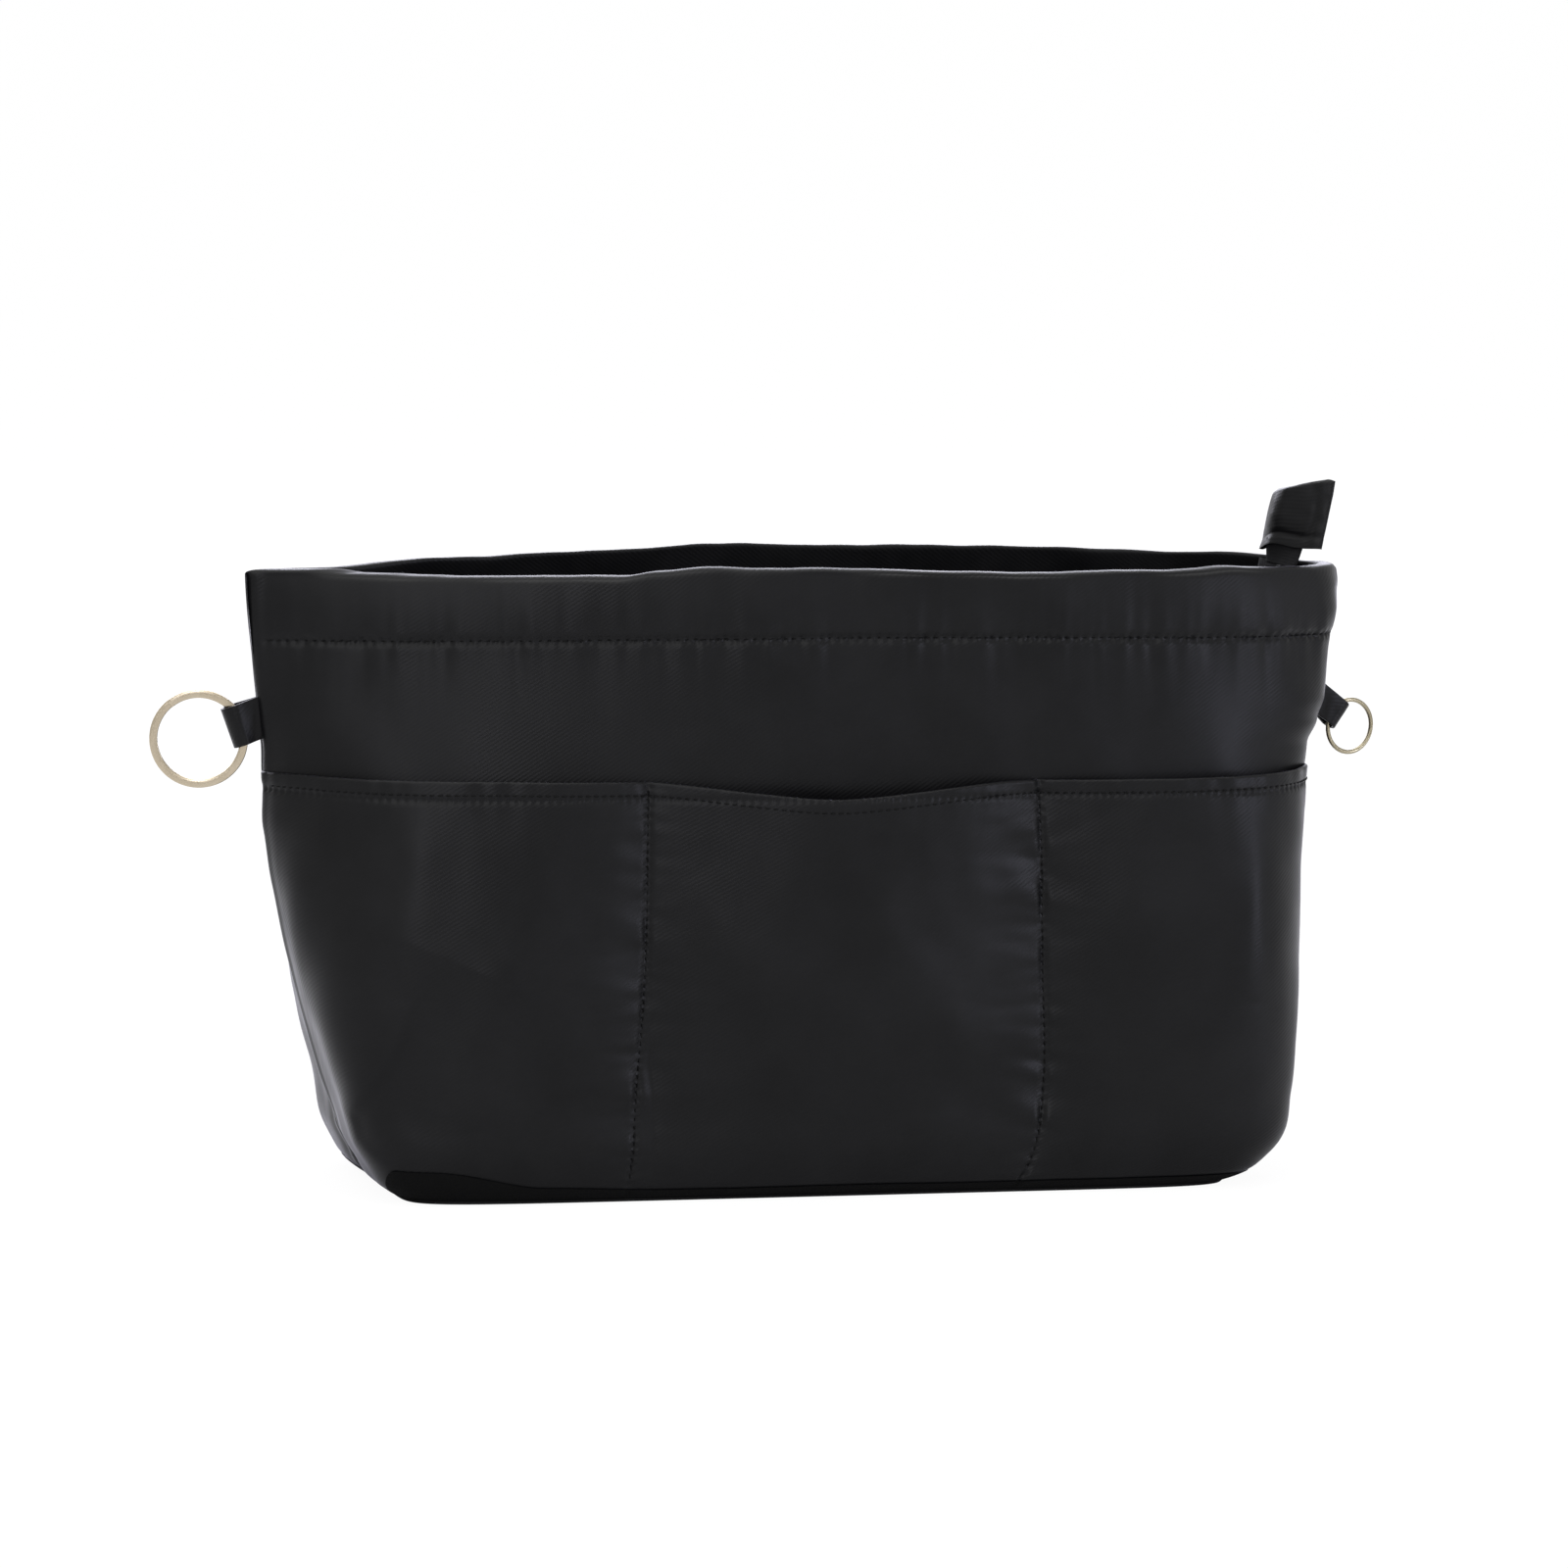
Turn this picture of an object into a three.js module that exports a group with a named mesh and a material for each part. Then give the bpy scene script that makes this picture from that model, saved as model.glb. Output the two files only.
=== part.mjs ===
// Purse organizer insert: a sewn insert of black satin nylon with a boxed base, a stiffened rim, patch pockets,
// a recessed zip that stands open, and a ring on a cloth tab at each end.
// Lengths are in millimetres and angles in degrees. +X is to the right, +Y to the back and +Z up.
// The origin is the centre of the base, on the table.

import * as THREE from 'three';

// Sizes of the sewn body
const height = 158;
const rimHalfWidth = 145.5;
const rimRise = 2.5;
const mouthHalfDepth = 31.5;
const baseHalfLength = 110;
const baseHalfDepth = 40;
const belly = 2;

// Cloth and board
const shellCloth = 1;
const liningCloth = 0.8;
const boningThickness = 0.8;
const boardThickness = 2;
const sewnGap = 0.3;
const seamGap = 0.3;

// Rim casing
const casingHeight = 18;
const boningMargin = 1.2;

// Pockets
const frontPocketTop = 106;
const frontPocketSwell = 8;
const backPocketTop = 100;
const backPocketSwell = 6.5;
const innerPocketBelowRim = 66;
const innerPocketTop = height - innerPocketBelowRim;
const innerPocketBottom = 26;
const innerPocketSwell = 7;

// Recessed zip
const wingHeight = 19;
const tapeWidth = 6.5;
const tapeThickness = 0.5;
const chainWidth = 1.6;
const chainThickness = 1.6;
const chainHalfGap = 0.6;
const wingEndGap = 0.9;

// Tail of the zip, which stands out of the right-hand end of the mouth
const tailFromRimEnd = 14.5;
const tailHingeRise = 0.5;
const tailLength = 28;
const tailLean = 12;
const tailTurn = -62;
const tapeStartBend = 10;
const tapeFootBend = 14;
const capLength = 19;
const capHalfWidth = 8.2;
const capThickness = 3;

// Slider, its bridge and its pull
const sliderLength = 9.5;
const sliderHalfWidth = 3.6;
const sliderWall = 0.9;
const sliderLip = 0.9;
const sliderLipDepth = 0.5;
const sliderFromHinge = 16;
const bridgeWidth = 1.6;
const bridgeHalfLength = 3.2;
const bridgeBar = 0.9;
const bridgeLeg = 1.2;
const bridgeRise = 3;
const pullLength = 16;
const pullHalfWidth = 3;
const pullThickness = 1;
const pullEyeLength = 5.4;
const pullEyeHalfWidth = 1.5;
const pullSag = 1;

// Tabs and rings: `rise` is the tab's height up the seam, and `reach` runs from its root to its ring
const leftTab = { rise: 10.5, reach: 3.2, place: 119.5, droop: 20, turn: -12 };
const rightTab = { rise: 7.6, reach: 6.8, place: 122.4, droop: 38, turn: 17 };
const tabCloth = 0.8;
const tabRootRadius = 1;
const tabHoleSlack = 0.25;
const keyRingRadius = 12.5;
const keyRingBand = 1.6;
const keyRingWire = 0.8;
const keyRingTurnGap = 0.45;
const smallRingRadius = 7.5;
const smallRingWire = 1.2;

// Shapes of the level sections: a high power is a box, a low one a lens
const baseCornerPower = 9;
const rimPower = { left: 2.2, right: 3.2 };
const rimEndPower = { left: 1.15, right: 0.5 };
const endLayerShare = { left: 3.5, right: 1.4 };
const leftSeamPower = 1.6;
const rightSwellShare = 0.55;
const rightSwellHeightShare = 0.08;
const rightSeamPower = 1.8;
const cornerFadePower = 3;

// Where the pieces divide the cloth, as shares of its width and height
const columns = 24;
const rowShares = [0, 0.03, 0.075, 0.14, 0.24, 0.38, 0.53, 0.67, 0.78, 0.885, 1];
const frontDividerShares = [8 / columns, 16 / columns];
const backDividerShares = [12 / columns];
const innerPocketShares = [5 / columns, 19 / columns];
const wingShares = [6 / columns, 21 / columns];
const swellRoundShare = 0.9;
const swellRiseShare = 0.55;
const sideEaseShare = 0.12;
const tapeTurnInShare = 0.3;
const nearColumnShare = 0.2;

const black = { nylon: 0x1c1c1d, lining: 0x2a2a2c, tape: 0x151516, plastic: 0x1b1b1c, board: 0x3a3a3a };
const metal = { nickel: 0xcbbfae, gunmetal: 0x2e2e30 };

const radians = THREE.MathUtils.degToRad;
const mix = THREE.MathUtils.lerp;
const vector = (x, y, z) => new THREE.Vector3(x, y, z);

const group = new THREE.Group();

function piece(name, geometry, color, roughness, metalness = 0) {
  const material = new THREE.MeshStandardMaterial({ color, roughness, metalness });
  const mesh = new THREE.Mesh(geometry, material);
  mesh.name = name;
  group.add(mesh);
  return mesh;
}

// The side seams run from the base's ends out to the rim's, straighter on the left than on the right.
function seamReach(side, up) {
  if (side < 0) return 1 - (1 - up) ** leftSeamPower;
  const swelling = 1 - Math.exp(-up / rightSwellHeightShare);
  return mix(up ** rightSeamPower, swelling, rightSwellShare);
}

function halfWidth(side, up) {
  return mix(baseHalfLength, rimHalfWidth, seamReach(side, up));
}

function halfDepth(up) {
  return mix(baseHalfDepth, mouthHalfDepth, up) + belly * Math.sin(Math.PI * up);
}

// A point of the front half of a level section: a box with round corners at the base, a lens at the rim.
function sectionPoint(angle, up) {
  const side = Math.cos(angle) < 0 ? -1 : 1;
  const end = side < 0 ? 'left' : 'right';
  const power = mix(rimPower[end], baseCornerPower, (1 - up) ** cornerFadePower);
  const endPower = mix(1 / baseCornerPower, rimEndPower[end], up ** 2);
  const across = Math.abs(Math.cos(angle)) ** (2 / power);
  const out = Math.abs(Math.sin(angle)) ** (2 * endPower);
  return [side * across * halfWidth(side, up), -out * halfDepth(up)];
}

// Sections measured along the cloth, so that a share of the cloth's width is a true length.
const sectionSteps = 480;
const measured = new Map();

function section(up) {
  const key = up.toFixed(5);
  if (!measured.has(key)) {
    const points = [];
    let run = 0;
    for (let i = 0; i <= sectionSteps; i++) {
      const [x, y] = sectionPoint(Math.PI * (1 - i / sectionSteps), up);
      if (i > 0) run += Math.hypot(x - points[i - 1].x, y - points[i - 1].y);
      points.push({ x, y, run });
    }
    measured.set(key, points);
  }
  return measured.get(key);
}

function alongSection(share, up) {
  const points = section(up);
  const goal = share * points[sectionSteps].run;
  let i = 1;
  while (i < sectionSteps && points[i].run < goal) i++;
  const [a, b] = [points[i - 1], points[i]];
  const step = Math.hypot(b.x - a.x, b.y - a.y);
  const part = step > 0 ? (goal - a.run) / step : 0;
  return { x: mix(a.x, b.x, part), y: mix(a.y, b.y, part), out: [(b.y - a.y) / step, -(b.x - a.x) / step] };
}

function rimHeight(share) {
  return height + rimRise * Math.sin(Math.PI * share);
}

// A point `inset` inside the shell's outer face, and `swell` out from there. A face of -1 is the front.
function wallPoint(face, share, z, inset, swell = 0) {
  const up = Math.min(1, z / rimHeight(share));
  const p = alongSection(share, up);
  const side = p.x < 0 ? -1 : 1;
  const endShare = inset > 0 ? mix(1, endLayerShare[side < 0 ? 'left' : 'right'], up) : 1;
  const x = p.x * (1 - (inset * endShare) / halfWidth(side, up)) + p.out[0] * swell;
  const y = p.y * (1 - inset / halfDepth(up)) + p.out[1] * swell - seamGap / 2;
  return vector(x, -face * y, z);
}

function closedGeometry(points, faces) {
  const geometry = new THREE.BufferGeometry();
  const corner = (i) => vector(...points[i]);
  let volume = 0;
  for (const [a, b, c] of faces) volume += corner(a).dot(corner(b).cross(corner(c)));
  const turned = volume < 0 ? faces.map(([a, b, c]) => [a, c, b]) : faces;
  geometry.setAttribute('position', new THREE.Float32BufferAttribute(points.flat(), 3));
  geometry.setIndex(turned.flat());
  geometry.computeVertexNormals();
  return geometry;
}

// A closed solid between two grids of points, with walls along its four edges.
function slab(outer, inner) {
  const rows = outer.length;
  const width = outer[0].length;
  const points = [...outer.flat(), ...inner.flat()].map((p) => [p.x, p.y, p.z]);
  const at = (layer, row, column) => (layer * rows + row) * width + column;
  const faces = [];
  const quad = (a, b, c, d) => faces.push([a, b, c], [a, c, d]);
  for (let j = 0; j + 1 < rows; j++) {
    for (let i = 0; i + 1 < width; i++) {
      quad(at(0, j, i), at(0, j, i + 1), at(0, j + 1, i + 1), at(0, j + 1, i));
      quad(at(1, j, i), at(1, j + 1, i), at(1, j + 1, i + 1), at(1, j, i + 1));
    }
    quad(at(0, j, 0), at(0, j + 1, 0), at(1, j + 1, 0), at(1, j, 0));
    quad(at(0, j + 1, width - 1), at(0, j, width - 1), at(1, j, width - 1), at(1, j + 1, width - 1));
  }
  for (let i = 0; i + 1 < width; i++) {
    quad(at(0, 0, i + 1), at(0, 0, i), at(1, 0, i), at(1, 0, i + 1));
    quad(at(0, rows - 1, i), at(0, rows - 1, i + 1), at(1, rows - 1, i + 1), at(1, rows - 1, i));
  }
  return closedGeometry(points, faces);
}

// The shares of a list that lie inside a stretch, with the stretch's own two ends.
function within(shares, from, to) {
  const room = nearColumnShare / columns;
  return [from, ...shares.filter((s) => s > from + room && s < to - room), to];
}

const columnShares = Array.from({ length: columns + 1 }, (_, i) => i / columns);

// A cloth that follows the wall between two heights, each a length or a function of the place along it.
function wallSheet({ face, from = 0, to = 1, low, high, outer, thickness, swell = () => 0 }) {
  const level = (edge, share) => (typeof edge === 'function' ? edge(share) : edge);
  const middle = (from + to) / 2;
  const across = within(columnShares, from, to);
  const upRows = within(rowShares, level(low, middle) / rimHeight(middle), level(high, middle) / rimHeight(middle));
  const grid = (inset) => upRows.map((row, j) => across.map((share) => {
    let z = row * rimHeight(share);
    if (j === 0) z = level(low, share);
    if (j === upRows.length - 1) z = level(high, share);
    return wallPoint(face, share, z, inset, swell(share, z));
  }));
  return slab(grid(outer), grid(outer + thickness));
}

// How far a patch pocket stands off the wall: shut along its seams, open at its mouth.
function pocketSwell(seams, bottom, top, most) {
  return (share, z) => {
    const next = seams.findIndex((s) => s > share + Number.EPSILON);
    if (next < 1) return 0;
    const across = (share - seams[next - 1]) / (seams[next] - seams[next - 1]);
    const up = Math.min(1, (z - bottom) / (top - bottom) / swellRiseShare);
    return most * Math.sin(Math.PI * across) ** swellRoundShare * Math.sin((Math.PI / 2) * Math.max(0, up));
  };
}

// Layers of the wall, from the outside in
const liningInset = shellCloth + sewnGap;
const boningInset = shellCloth + sewnGap;
const facingInset = boningInset + boningThickness + sewnGap;
const innerInset = liningInset + liningCloth + sewnGap;

// Layers of the base, from the table up
const boardBottom = shellCloth + sewnGap;
const liningBottom = boardBottom + boardThickness + sewnGap;

const casingBottom = (share) => rimHeight(share) - casingHeight;
const faces = { front: -1, back: 1 };

for (const [side, face] of Object.entries(faces)) {
  const shell = wallSheet({ face, low: 0, high: rimHeight, outer: 0, thickness: shellCloth });
  piece(`${side}_panel`, shell, black.nylon, 0.5);
  const lining = wallSheet({
    face,
    low: liningBottom,
    high: (share) => casingBottom(share) - sewnGap,
    outer: liningInset,
    thickness: liningCloth,
  });
  piece(`${side}_lining`, lining, black.lining, 0.8);
  const boning = wallSheet({
    face,
    low: (share) => casingBottom(share) + boningMargin,
    high: (share) => rimHeight(share) - boningMargin,
    outer: boningInset,
    thickness: boningThickness,
  });
  piece(`${side}_boning`, boning, black.plastic, 0.6);
  const facing = wallSheet({
    face,
    low: casingBottom,
    high: rimHeight,
    outer: facingInset,
    thickness: liningCloth,
  });
  piece(`${side}_facing`, facing, black.nylon, 0.5);
}

// A flat plate that fills the foot of the body, inside a given depth of its outer face.
function basePlate(inset, low, thickness) {
  const edge = (face) => columnShares.map((share) => wallPoint(face, share, 0, inset));
  const layer = (z) => [faces.front, faces.back].map((face) => edge(face).map((p) => vector(p.x, p.y, z)));
  return slab(layer(low + thickness), layer(low));
}

piece('base_panel', basePlate(liningInset, 0, shellCloth), black.nylon, 0.55);
piece('base_board', basePlate(liningInset, boardBottom, boardThickness), black.board, 0.9);
piece('base_lining', basePlate(innerInset, liningBottom, liningCloth), black.lining, 0.8);

// Patch pockets outside, which lie close near the side seams, and slip pockets on the lining
function patchPocket(face, top, dividers, most) {
  const standOff = pocketSwell([0, ...dividers, 1], 0, top, most);
  return wallSheet({
    face,
    low: 0,
    high: top,
    outer: -sewnGap - shellCloth,
    thickness: shellCloth,
    swell: (share, z) => standOff(share, z) * THREE.MathUtils.smoothstep(Math.min(share, 1 - share), 0, sideEaseShare),
  });
}

function slipPocket(face) {
  const [from, to] = innerPocketShares;
  return wallSheet({
    face,
    from,
    to,
    low: innerPocketBottom,
    high: innerPocketTop,
    outer: innerInset,
    thickness: liningCloth,
    swell: pocketSwell([from, 0.5, to], innerPocketBottom, innerPocketTop, -innerPocketSwell),
  });
}

const frontPocket = patchPocket(faces.front, frontPocketTop, frontDividerShares, frontPocketSwell);
const backPocket = patchPocket(faces.back, backPocketTop, backDividerShares, backPocketSwell);
piece('front_pocket', frontPocket, black.nylon, 0.5);
piece('back_pocket', backPocket, black.nylon, 0.5);
piece('front_slip_pocket', slipPocket(faces.front), black.lining, 0.8);
piece('back_slip_pocket', slipPocket(faces.back), black.lining, 0.8);

// Zip wings: a strip of cloth, the tape below it and the chain along the tape's free edge
const wingTop = (share) => casingBottom(share) - sewnGap;
const wingBottom = (share) => wingTop(share) - wingHeight;
const tapeTop = (share) => wingBottom(share) - sewnGap;
const tapeBottom = (share) => tapeTop(share) - tapeWidth;
const chainTop = (share) => tapeBottom(share) - sewnGap;
const chainBottom = (share) => chainTop(share) - chainWidth;
const chainCentreInset = innerInset + chainThickness / 2;

for (const [side, face] of Object.entries(faces)) {
  const [from, to] = wingShares;
  const strip = { face, from, to };
  const wing = wallSheet({ ...strip, low: wingBottom, high: wingTop, outer: innerInset, thickness: liningCloth });
  piece(`${side}_zip_wing`, wing, black.nylon, 0.5);
  const tapeInset = chainCentreInset - tapeThickness / 2;
  const tape = wallSheet({ ...strip, low: tapeBottom, high: tapeTop, outer: tapeInset, thickness: tapeThickness });
  piece(`${side}_zip_tape`, tape, black.tape, 0.9);
  const chain = wallSheet({
    ...strip,
    low: chainBottom,
    high: chainTop,
    outer: innerInset,
    thickness: chainThickness,
  });
  piece(`${side}_zip_chain`, chain, black.plastic, 0.4);
}

// The tail's own frame: `wide` across it, `thick` through it and `along` up it, from the hinge under the cap
const along = vector(Math.sin(radians(tailLean)), 0, Math.cos(radians(tailLean)));
const level = vector(Math.cos(radians(tailTurn)), Math.sin(radians(tailTurn)), 0);
const wide = level.clone().addScaledVector(along, -level.dot(along)).normalize();
const thick = along.clone().cross(wide);
const tailHinge = vector(rimHalfWidth - tailFromRimEnd, 0, height + tailHingeRise);
const tailFrame = new THREE.Matrix4().makeBasis(wide, thick, along).setPosition(tailHinge);

function tailPoint(a, b, c) {
  return vector(a, b, c).applyMatrix4(tailFrame);
}

// From the wing's end the tape turns up and flat into the tail, with its chain on the zip's middle line.
function tailCurve(face) {
  const place = (share) => wallPoint(face, share, chainBottom(share) - chainHalfGap, chainCentreInset);
  const end = wingShares[1] + wingEndGap / section(1)[sectionSteps].run;
  const start = place(end);
  const onwards = start.clone().sub(place(wingShares[1])).normalize();
  const foot = tailPoint(0, 0, -tailLength);
  const after = foot.clone().addScaledVector(along, -tapeFootBend);
  const before = start.clone().addScaledVector(onwards, tapeStartBend).lerp(after, tapeTurnInShare);
  return { curve: new THREE.CubicBezierCurve3(start, before, after, foot), onwards };
}

const bendSteps = 6;
const tapeTopGap = capThickness / 2 + sewnGap;

function tailStrip(face, near, far, thickness) {
  const { curve, onwards } = tailCurve(face);
  const end = wingShares[1];
  const foot = wallPoint(face, end, chainBottom(end), chainCentreInset);
  const upright = wallPoint(face, end, tapeTop(end), chainCentreInset).sub(foot).normalize();
  const goal = wide.clone().multiplyScalar(-face);
  const stations = [];
  for (let i = 0; i <= bendSteps; i++) {
    const turn = THREE.MathUtils.smoothstep(i / bendSteps, 0, 1);
    const width = upright.clone().lerp(goal, turn);
    const tangent = i > 0 ? curve.getTangent(i / bendSteps) : onwards;
    stations.push({ point: curve.getPoint(i / bendSteps), tangent, width });
  }
  stations.push({ point: tailPoint(0, 0, -tapeTopGap), tangent: along, width: goal });
  const layers = [1, -1].map((layer) => stations.map(({ point, tangent, width }) => {
    const normal = tangent.clone().cross(width).normalize();
    const square = normal.clone().cross(tangent).normalize();
    const lifted = point.clone().addScaledVector(normal, (layer * thickness) / 2);
    return [near, far].map((distance) => lifted.clone().addScaledVector(square, distance));
  }));
  return slab(layers[0], layers[1]);
}

const tapeNear = chainHalfGap + chainWidth + sewnGap;
for (const [side, face] of Object.entries(faces)) {
  const tape = tailStrip(face, tapeNear, tapeNear + tapeWidth, tapeThickness);
  piece(`${side}_tail_tape`, tape, black.tape, 0.9);
  const chain = tailStrip(face, chainHalfGap, chainHalfGap + chainWidth, chainThickness);
  piece(`${side}_tail_chain`, chain, black.plastic, 0.4);
}

// A prism whose outline is drawn in the (first, second) axes of a frame and which runs along the third
function prism(outline, from, to, frame, holes = []) {
  const shape = new THREE.Shape(outline.map(([x, y]) => new THREE.Vector2(x, y)));
  for (const hole of holes) shape.holes.push(new THREE.Path(hole.map(([x, y]) => new THREE.Vector2(x, y))));
  const solid = new THREE.ExtrudeGeometry(shape, { depth: to - from, bevelEnabled: false });
  return solid.translate(0, 0, from).applyMatrix4(frame);
}

function arc(x, y, radius, fromAngle, toAngle, steps) {
  return Array.from({ length: steps + 1 }, (_, i) => {
    const angle = radians(mix(fromAngle, toAngle, i / steps));
    return [x + radius * Math.cos(angle), y + radius * Math.sin(angle)];
  });
}

// The tail's frame with its outline seen from the side: `thick` and `along` in the plane, `wide` through it
const tailSideFrame = new THREE.Matrix4().makeBasis(thick, along, wide).setPosition(tailHinge);

// Cap: cloth folded over the tail's end, with a round foot about its hinge
const capRadius = capThickness / 2;
const capOutline = [
  ...arc(0, 0, capRadius, 180, 360, 8),
  ...arc(0, capLength - capRadius, capRadius, 0, 180, 6),
];
piece('tail_cap', prism(capOutline, -capHalfWidth, capHalfWidth, tailSideFrame), black.nylon, 0.45);

// Slider: two plates on a thin post, with lips that hold the chain
const postHalf = chainHalfGap - sewnGap;
const plateInner = chainThickness / 2 + sewnGap;
const plateOuter = plateInner + sliderWall;
const lipInner = plateInner - sliderLipDepth;
const lipSide = sliderHalfWidth - sliderLip;
const sliderQuarter = [
  [sliderHalfWidth, plateOuter],
  [sliderHalfWidth, lipInner],
  [lipSide, lipInner],
  [lipSide, plateInner],
  [postHalf, plateInner],
];
const mirrored = (points, x, y) => points.map(([a, b]) => [x * a, y * b]);
const sliderOutline = [
  ...mirrored(sliderQuarter, 1, -1),
  ...mirrored(sliderQuarter, 1, 1).reverse(),
  ...mirrored(sliderQuarter, -1, 1),
  ...mirrored(sliderQuarter, -1, -1).reverse(),
];
const sliderFoot = -sliderFromHinge - sliderLength / 2;
const slider = prism(sliderOutline, sliderFoot, sliderFoot + sliderLength, tailFrame);
piece('zip_slider', slider, metal.gunmetal, 0.35, 0.9);

// Bridge over the slider's front plate, and the pull that hangs in it
const bridgeFoot = -plateOuter - sewnGap;
const bridgeTop = bridgeFoot - bridgeRise;
const legInner = bridgeHalfLength - bridgeLeg;
const bridgeOutline = [
  [bridgeFoot, -bridgeHalfLength],
  [bridgeFoot, -legInner],
  [bridgeTop + bridgeBar, -legInner],
  [bridgeTop + bridgeBar, legInner],
  [bridgeFoot, legInner],
  [bridgeFoot, bridgeHalfLength],
  [bridgeTop, bridgeHalfLength],
  [bridgeTop, -bridgeHalfLength],
];
const bridgePlaced = bridgeOutline.map(([b, c]) => [b, c - sliderFromHinge]);
const bridge = prism(bridgePlaced, -bridgeWidth / 2, bridgeWidth / 2, tailSideFrame);
piece('slider_bridge', bridge, metal.gunmetal, 0.35, 0.9);

const pullMiddle = (bridgeFoot + sewnGap + bridgeTop + bridgeBar) / 2;
const pullFrame = new THREE.Matrix4().makeBasis(wide, along, thick.clone().negate());
pullFrame.setPosition(tailPoint(0, pullMiddle, -sliderFromHinge - pullSag));
const pullBar = pullThickness / 2;
const pullOutline = [
  [-pullHalfWidth, pullBar],
  [-pullHalfWidth, pullHalfWidth - pullLength],
  ...arc(0, pullHalfWidth - pullLength, pullHalfWidth, 180, 360, 6).slice(1, -1),
  [pullHalfWidth, pullHalfWidth - pullLength],
  [pullHalfWidth, pullBar],
];
const pullEye = [
  [-pullEyeHalfWidth, -pullBar],
  [-pullEyeHalfWidth, -pullEyeLength],
  [pullEyeHalfWidth, -pullEyeLength],
  [pullEyeHalfWidth, -pullBar],
];
const pull = prism(pullOutline, -pullThickness / 2, pullThickness / 2, pullFrame, [pullEye]);
piece('zip_pull', pull, metal.gunmetal, 0.35, 0.9);

// A tab's frame: `out` from the seam to the ring, `flat` through the cloth and `fold` along the fold
function tabFrame(side, tab) {
  const turn = radians(tab.turn);
  const droop = radians(tab.droop);
  const sideways = vector(side * Math.cos(turn), side * Math.sin(turn), 0);
  const out = sideways.clone().multiplyScalar(Math.cos(droop)).add(vector(0, 0, -Math.sin(droop)));
  const flat = vector(0, 0, 1).cross(out).normalize();
  const fold = out.clone().cross(flat);
  const up = tab.place / height;
  const reach = halfWidth(side, up) + sewnGap + tabRootRadius;
  const root = vector(side * reach, 0, tab.place);
  const step = tab.rise / height / 2;
  const run = halfWidth(side, up + step) - halfWidth(side, up - step);
  const seam = vector(side * run, 0, tab.rise).normalize();
  const slant = seam.dot(out) / seam.dot(fold);
  return { out, flat, fold, root, seam, slant };
}

// The ring's wire bows inside the fold, so the hole is as wide as the bow and the wire together.
function ringSeat(tab, meanRadius, halfBand, halfStack) {
  const chord = Math.sqrt(meanRadius ** 2 - (tab.rise / 2) ** 2);
  const bow = (meanRadius - chord) / 2;
  const hole = Math.hypot(bow + halfBand, halfStack) + tabHoleSlack;
  return { hole, centre: meanRadius - bow };
}

const holeSides = 12;

function tabSolid(frame, tab, hole) {
  const endRadius = hole + tabCloth;
  const touch = THREE.MathUtils.radToDeg(Math.acos((tabRootRadius - endRadius) / tab.reach));
  const outline = [
    ...arc(tab.reach, 0, endRadius, -touch, touch, 12),
    ...arc(0, 0, tabRootRadius, touch, 360 - touch, 6),
  ];
  const ringHole = arc(tab.reach, 0, hole, 0, 360 - 360 / holeSides, holeSides - 1);
  const solid = prism(outline, -tab.rise / 2, tab.rise / 2, new THREE.Matrix4(), [ringHole]);
  const spots = solid.getAttribute('position');
  for (let i = 0; i < spots.count; i++) {
    const share = THREE.MathUtils.clamp(1 - spots.getX(i) / tab.reach, 0, 1);
    spots.setX(i, spots.getX(i) + frame.slant * spots.getZ(i) * share);
  }
  const turned = new THREE.Matrix4().makeBasis(frame.out, frame.flat, frame.fold).setPosition(frame.root);
  return solid.applyMatrix4(turned);
}

function ringFrame(frame, tab, seat) {
  const centre = frame.root.clone().addScaledVector(frame.out, tab.reach + seat.centre);
  return new THREE.Matrix4().makeBasis(frame.out, frame.fold, frame.flat.clone().negate()).setPosition(centre);
}

// Left: a split ring of flat wire, wound a little less than twice
const keyRingTurnSteps = 28;
const keyRingSteps = 50;
const keyRingStart = 70;
const keyRingTurns = keyRingSteps / keyRingTurnSteps;
const keyRingPitch = keyRingWire + keyRingTurnGap;
const keyRingMean = keyRingRadius - keyRingBand / 2;
const keyRingStack = (keyRingPitch * keyRingTurns + keyRingWire) / 2;

function splitRing() {
  const stations = Array.from({ length: keyRingSteps + 1 }, (_, i) => i / keyRingSteps);
  const layers = [keyRingBand / 2, -keyRingBand / 2].map((step) => stations.map((share) => {
    const angle = radians(keyRingStart) + 2 * Math.PI * keyRingTurns * share;
    const radius = keyRingMean + step;
    const middle = keyRingPitch * keyRingTurns * (share - 0.5);
    return [-keyRingWire / 2, keyRingWire / 2].map((rise) => (
      vector(radius * Math.cos(angle), radius * Math.sin(angle), middle + rise)
    ));
  }));
  const turnGap = Math.min(...layers.map(leastTurnGap));
  console.log(`Least gap between the turns of the key ring: ${turnGap.toFixed(2)} mm`);
  return slab(layers[0], layers[1]);
}

// The least distance from the top of a turn to the foot of the next, between the wire's own points
function leastTurnGap(stations) {
  const half = Math.ceil(keyRingTurnSteps / 2);
  const gaps = stations.flatMap(([, top], i) => (
    stations.slice(i + half, i + 2 * keyRingTurnSteps).map(([foot]) => top.distanceTo(foot))
  ));
  return Math.min(...gaps);
}

const leftFrame = tabFrame(-1, leftTab);
const leftSeat = ringSeat(leftTab, keyRingMean, keyRingBand / 2, keyRingStack);
piece('left_tab', tabSolid(leftFrame, leftTab, leftSeat.hole), black.nylon, 0.7);
const keyRing = splitRing().applyMatrix4(ringFrame(leftFrame, leftTab, leftSeat));
piece('key_ring', keyRing, metal.nickel, 0.25, 1);

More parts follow.
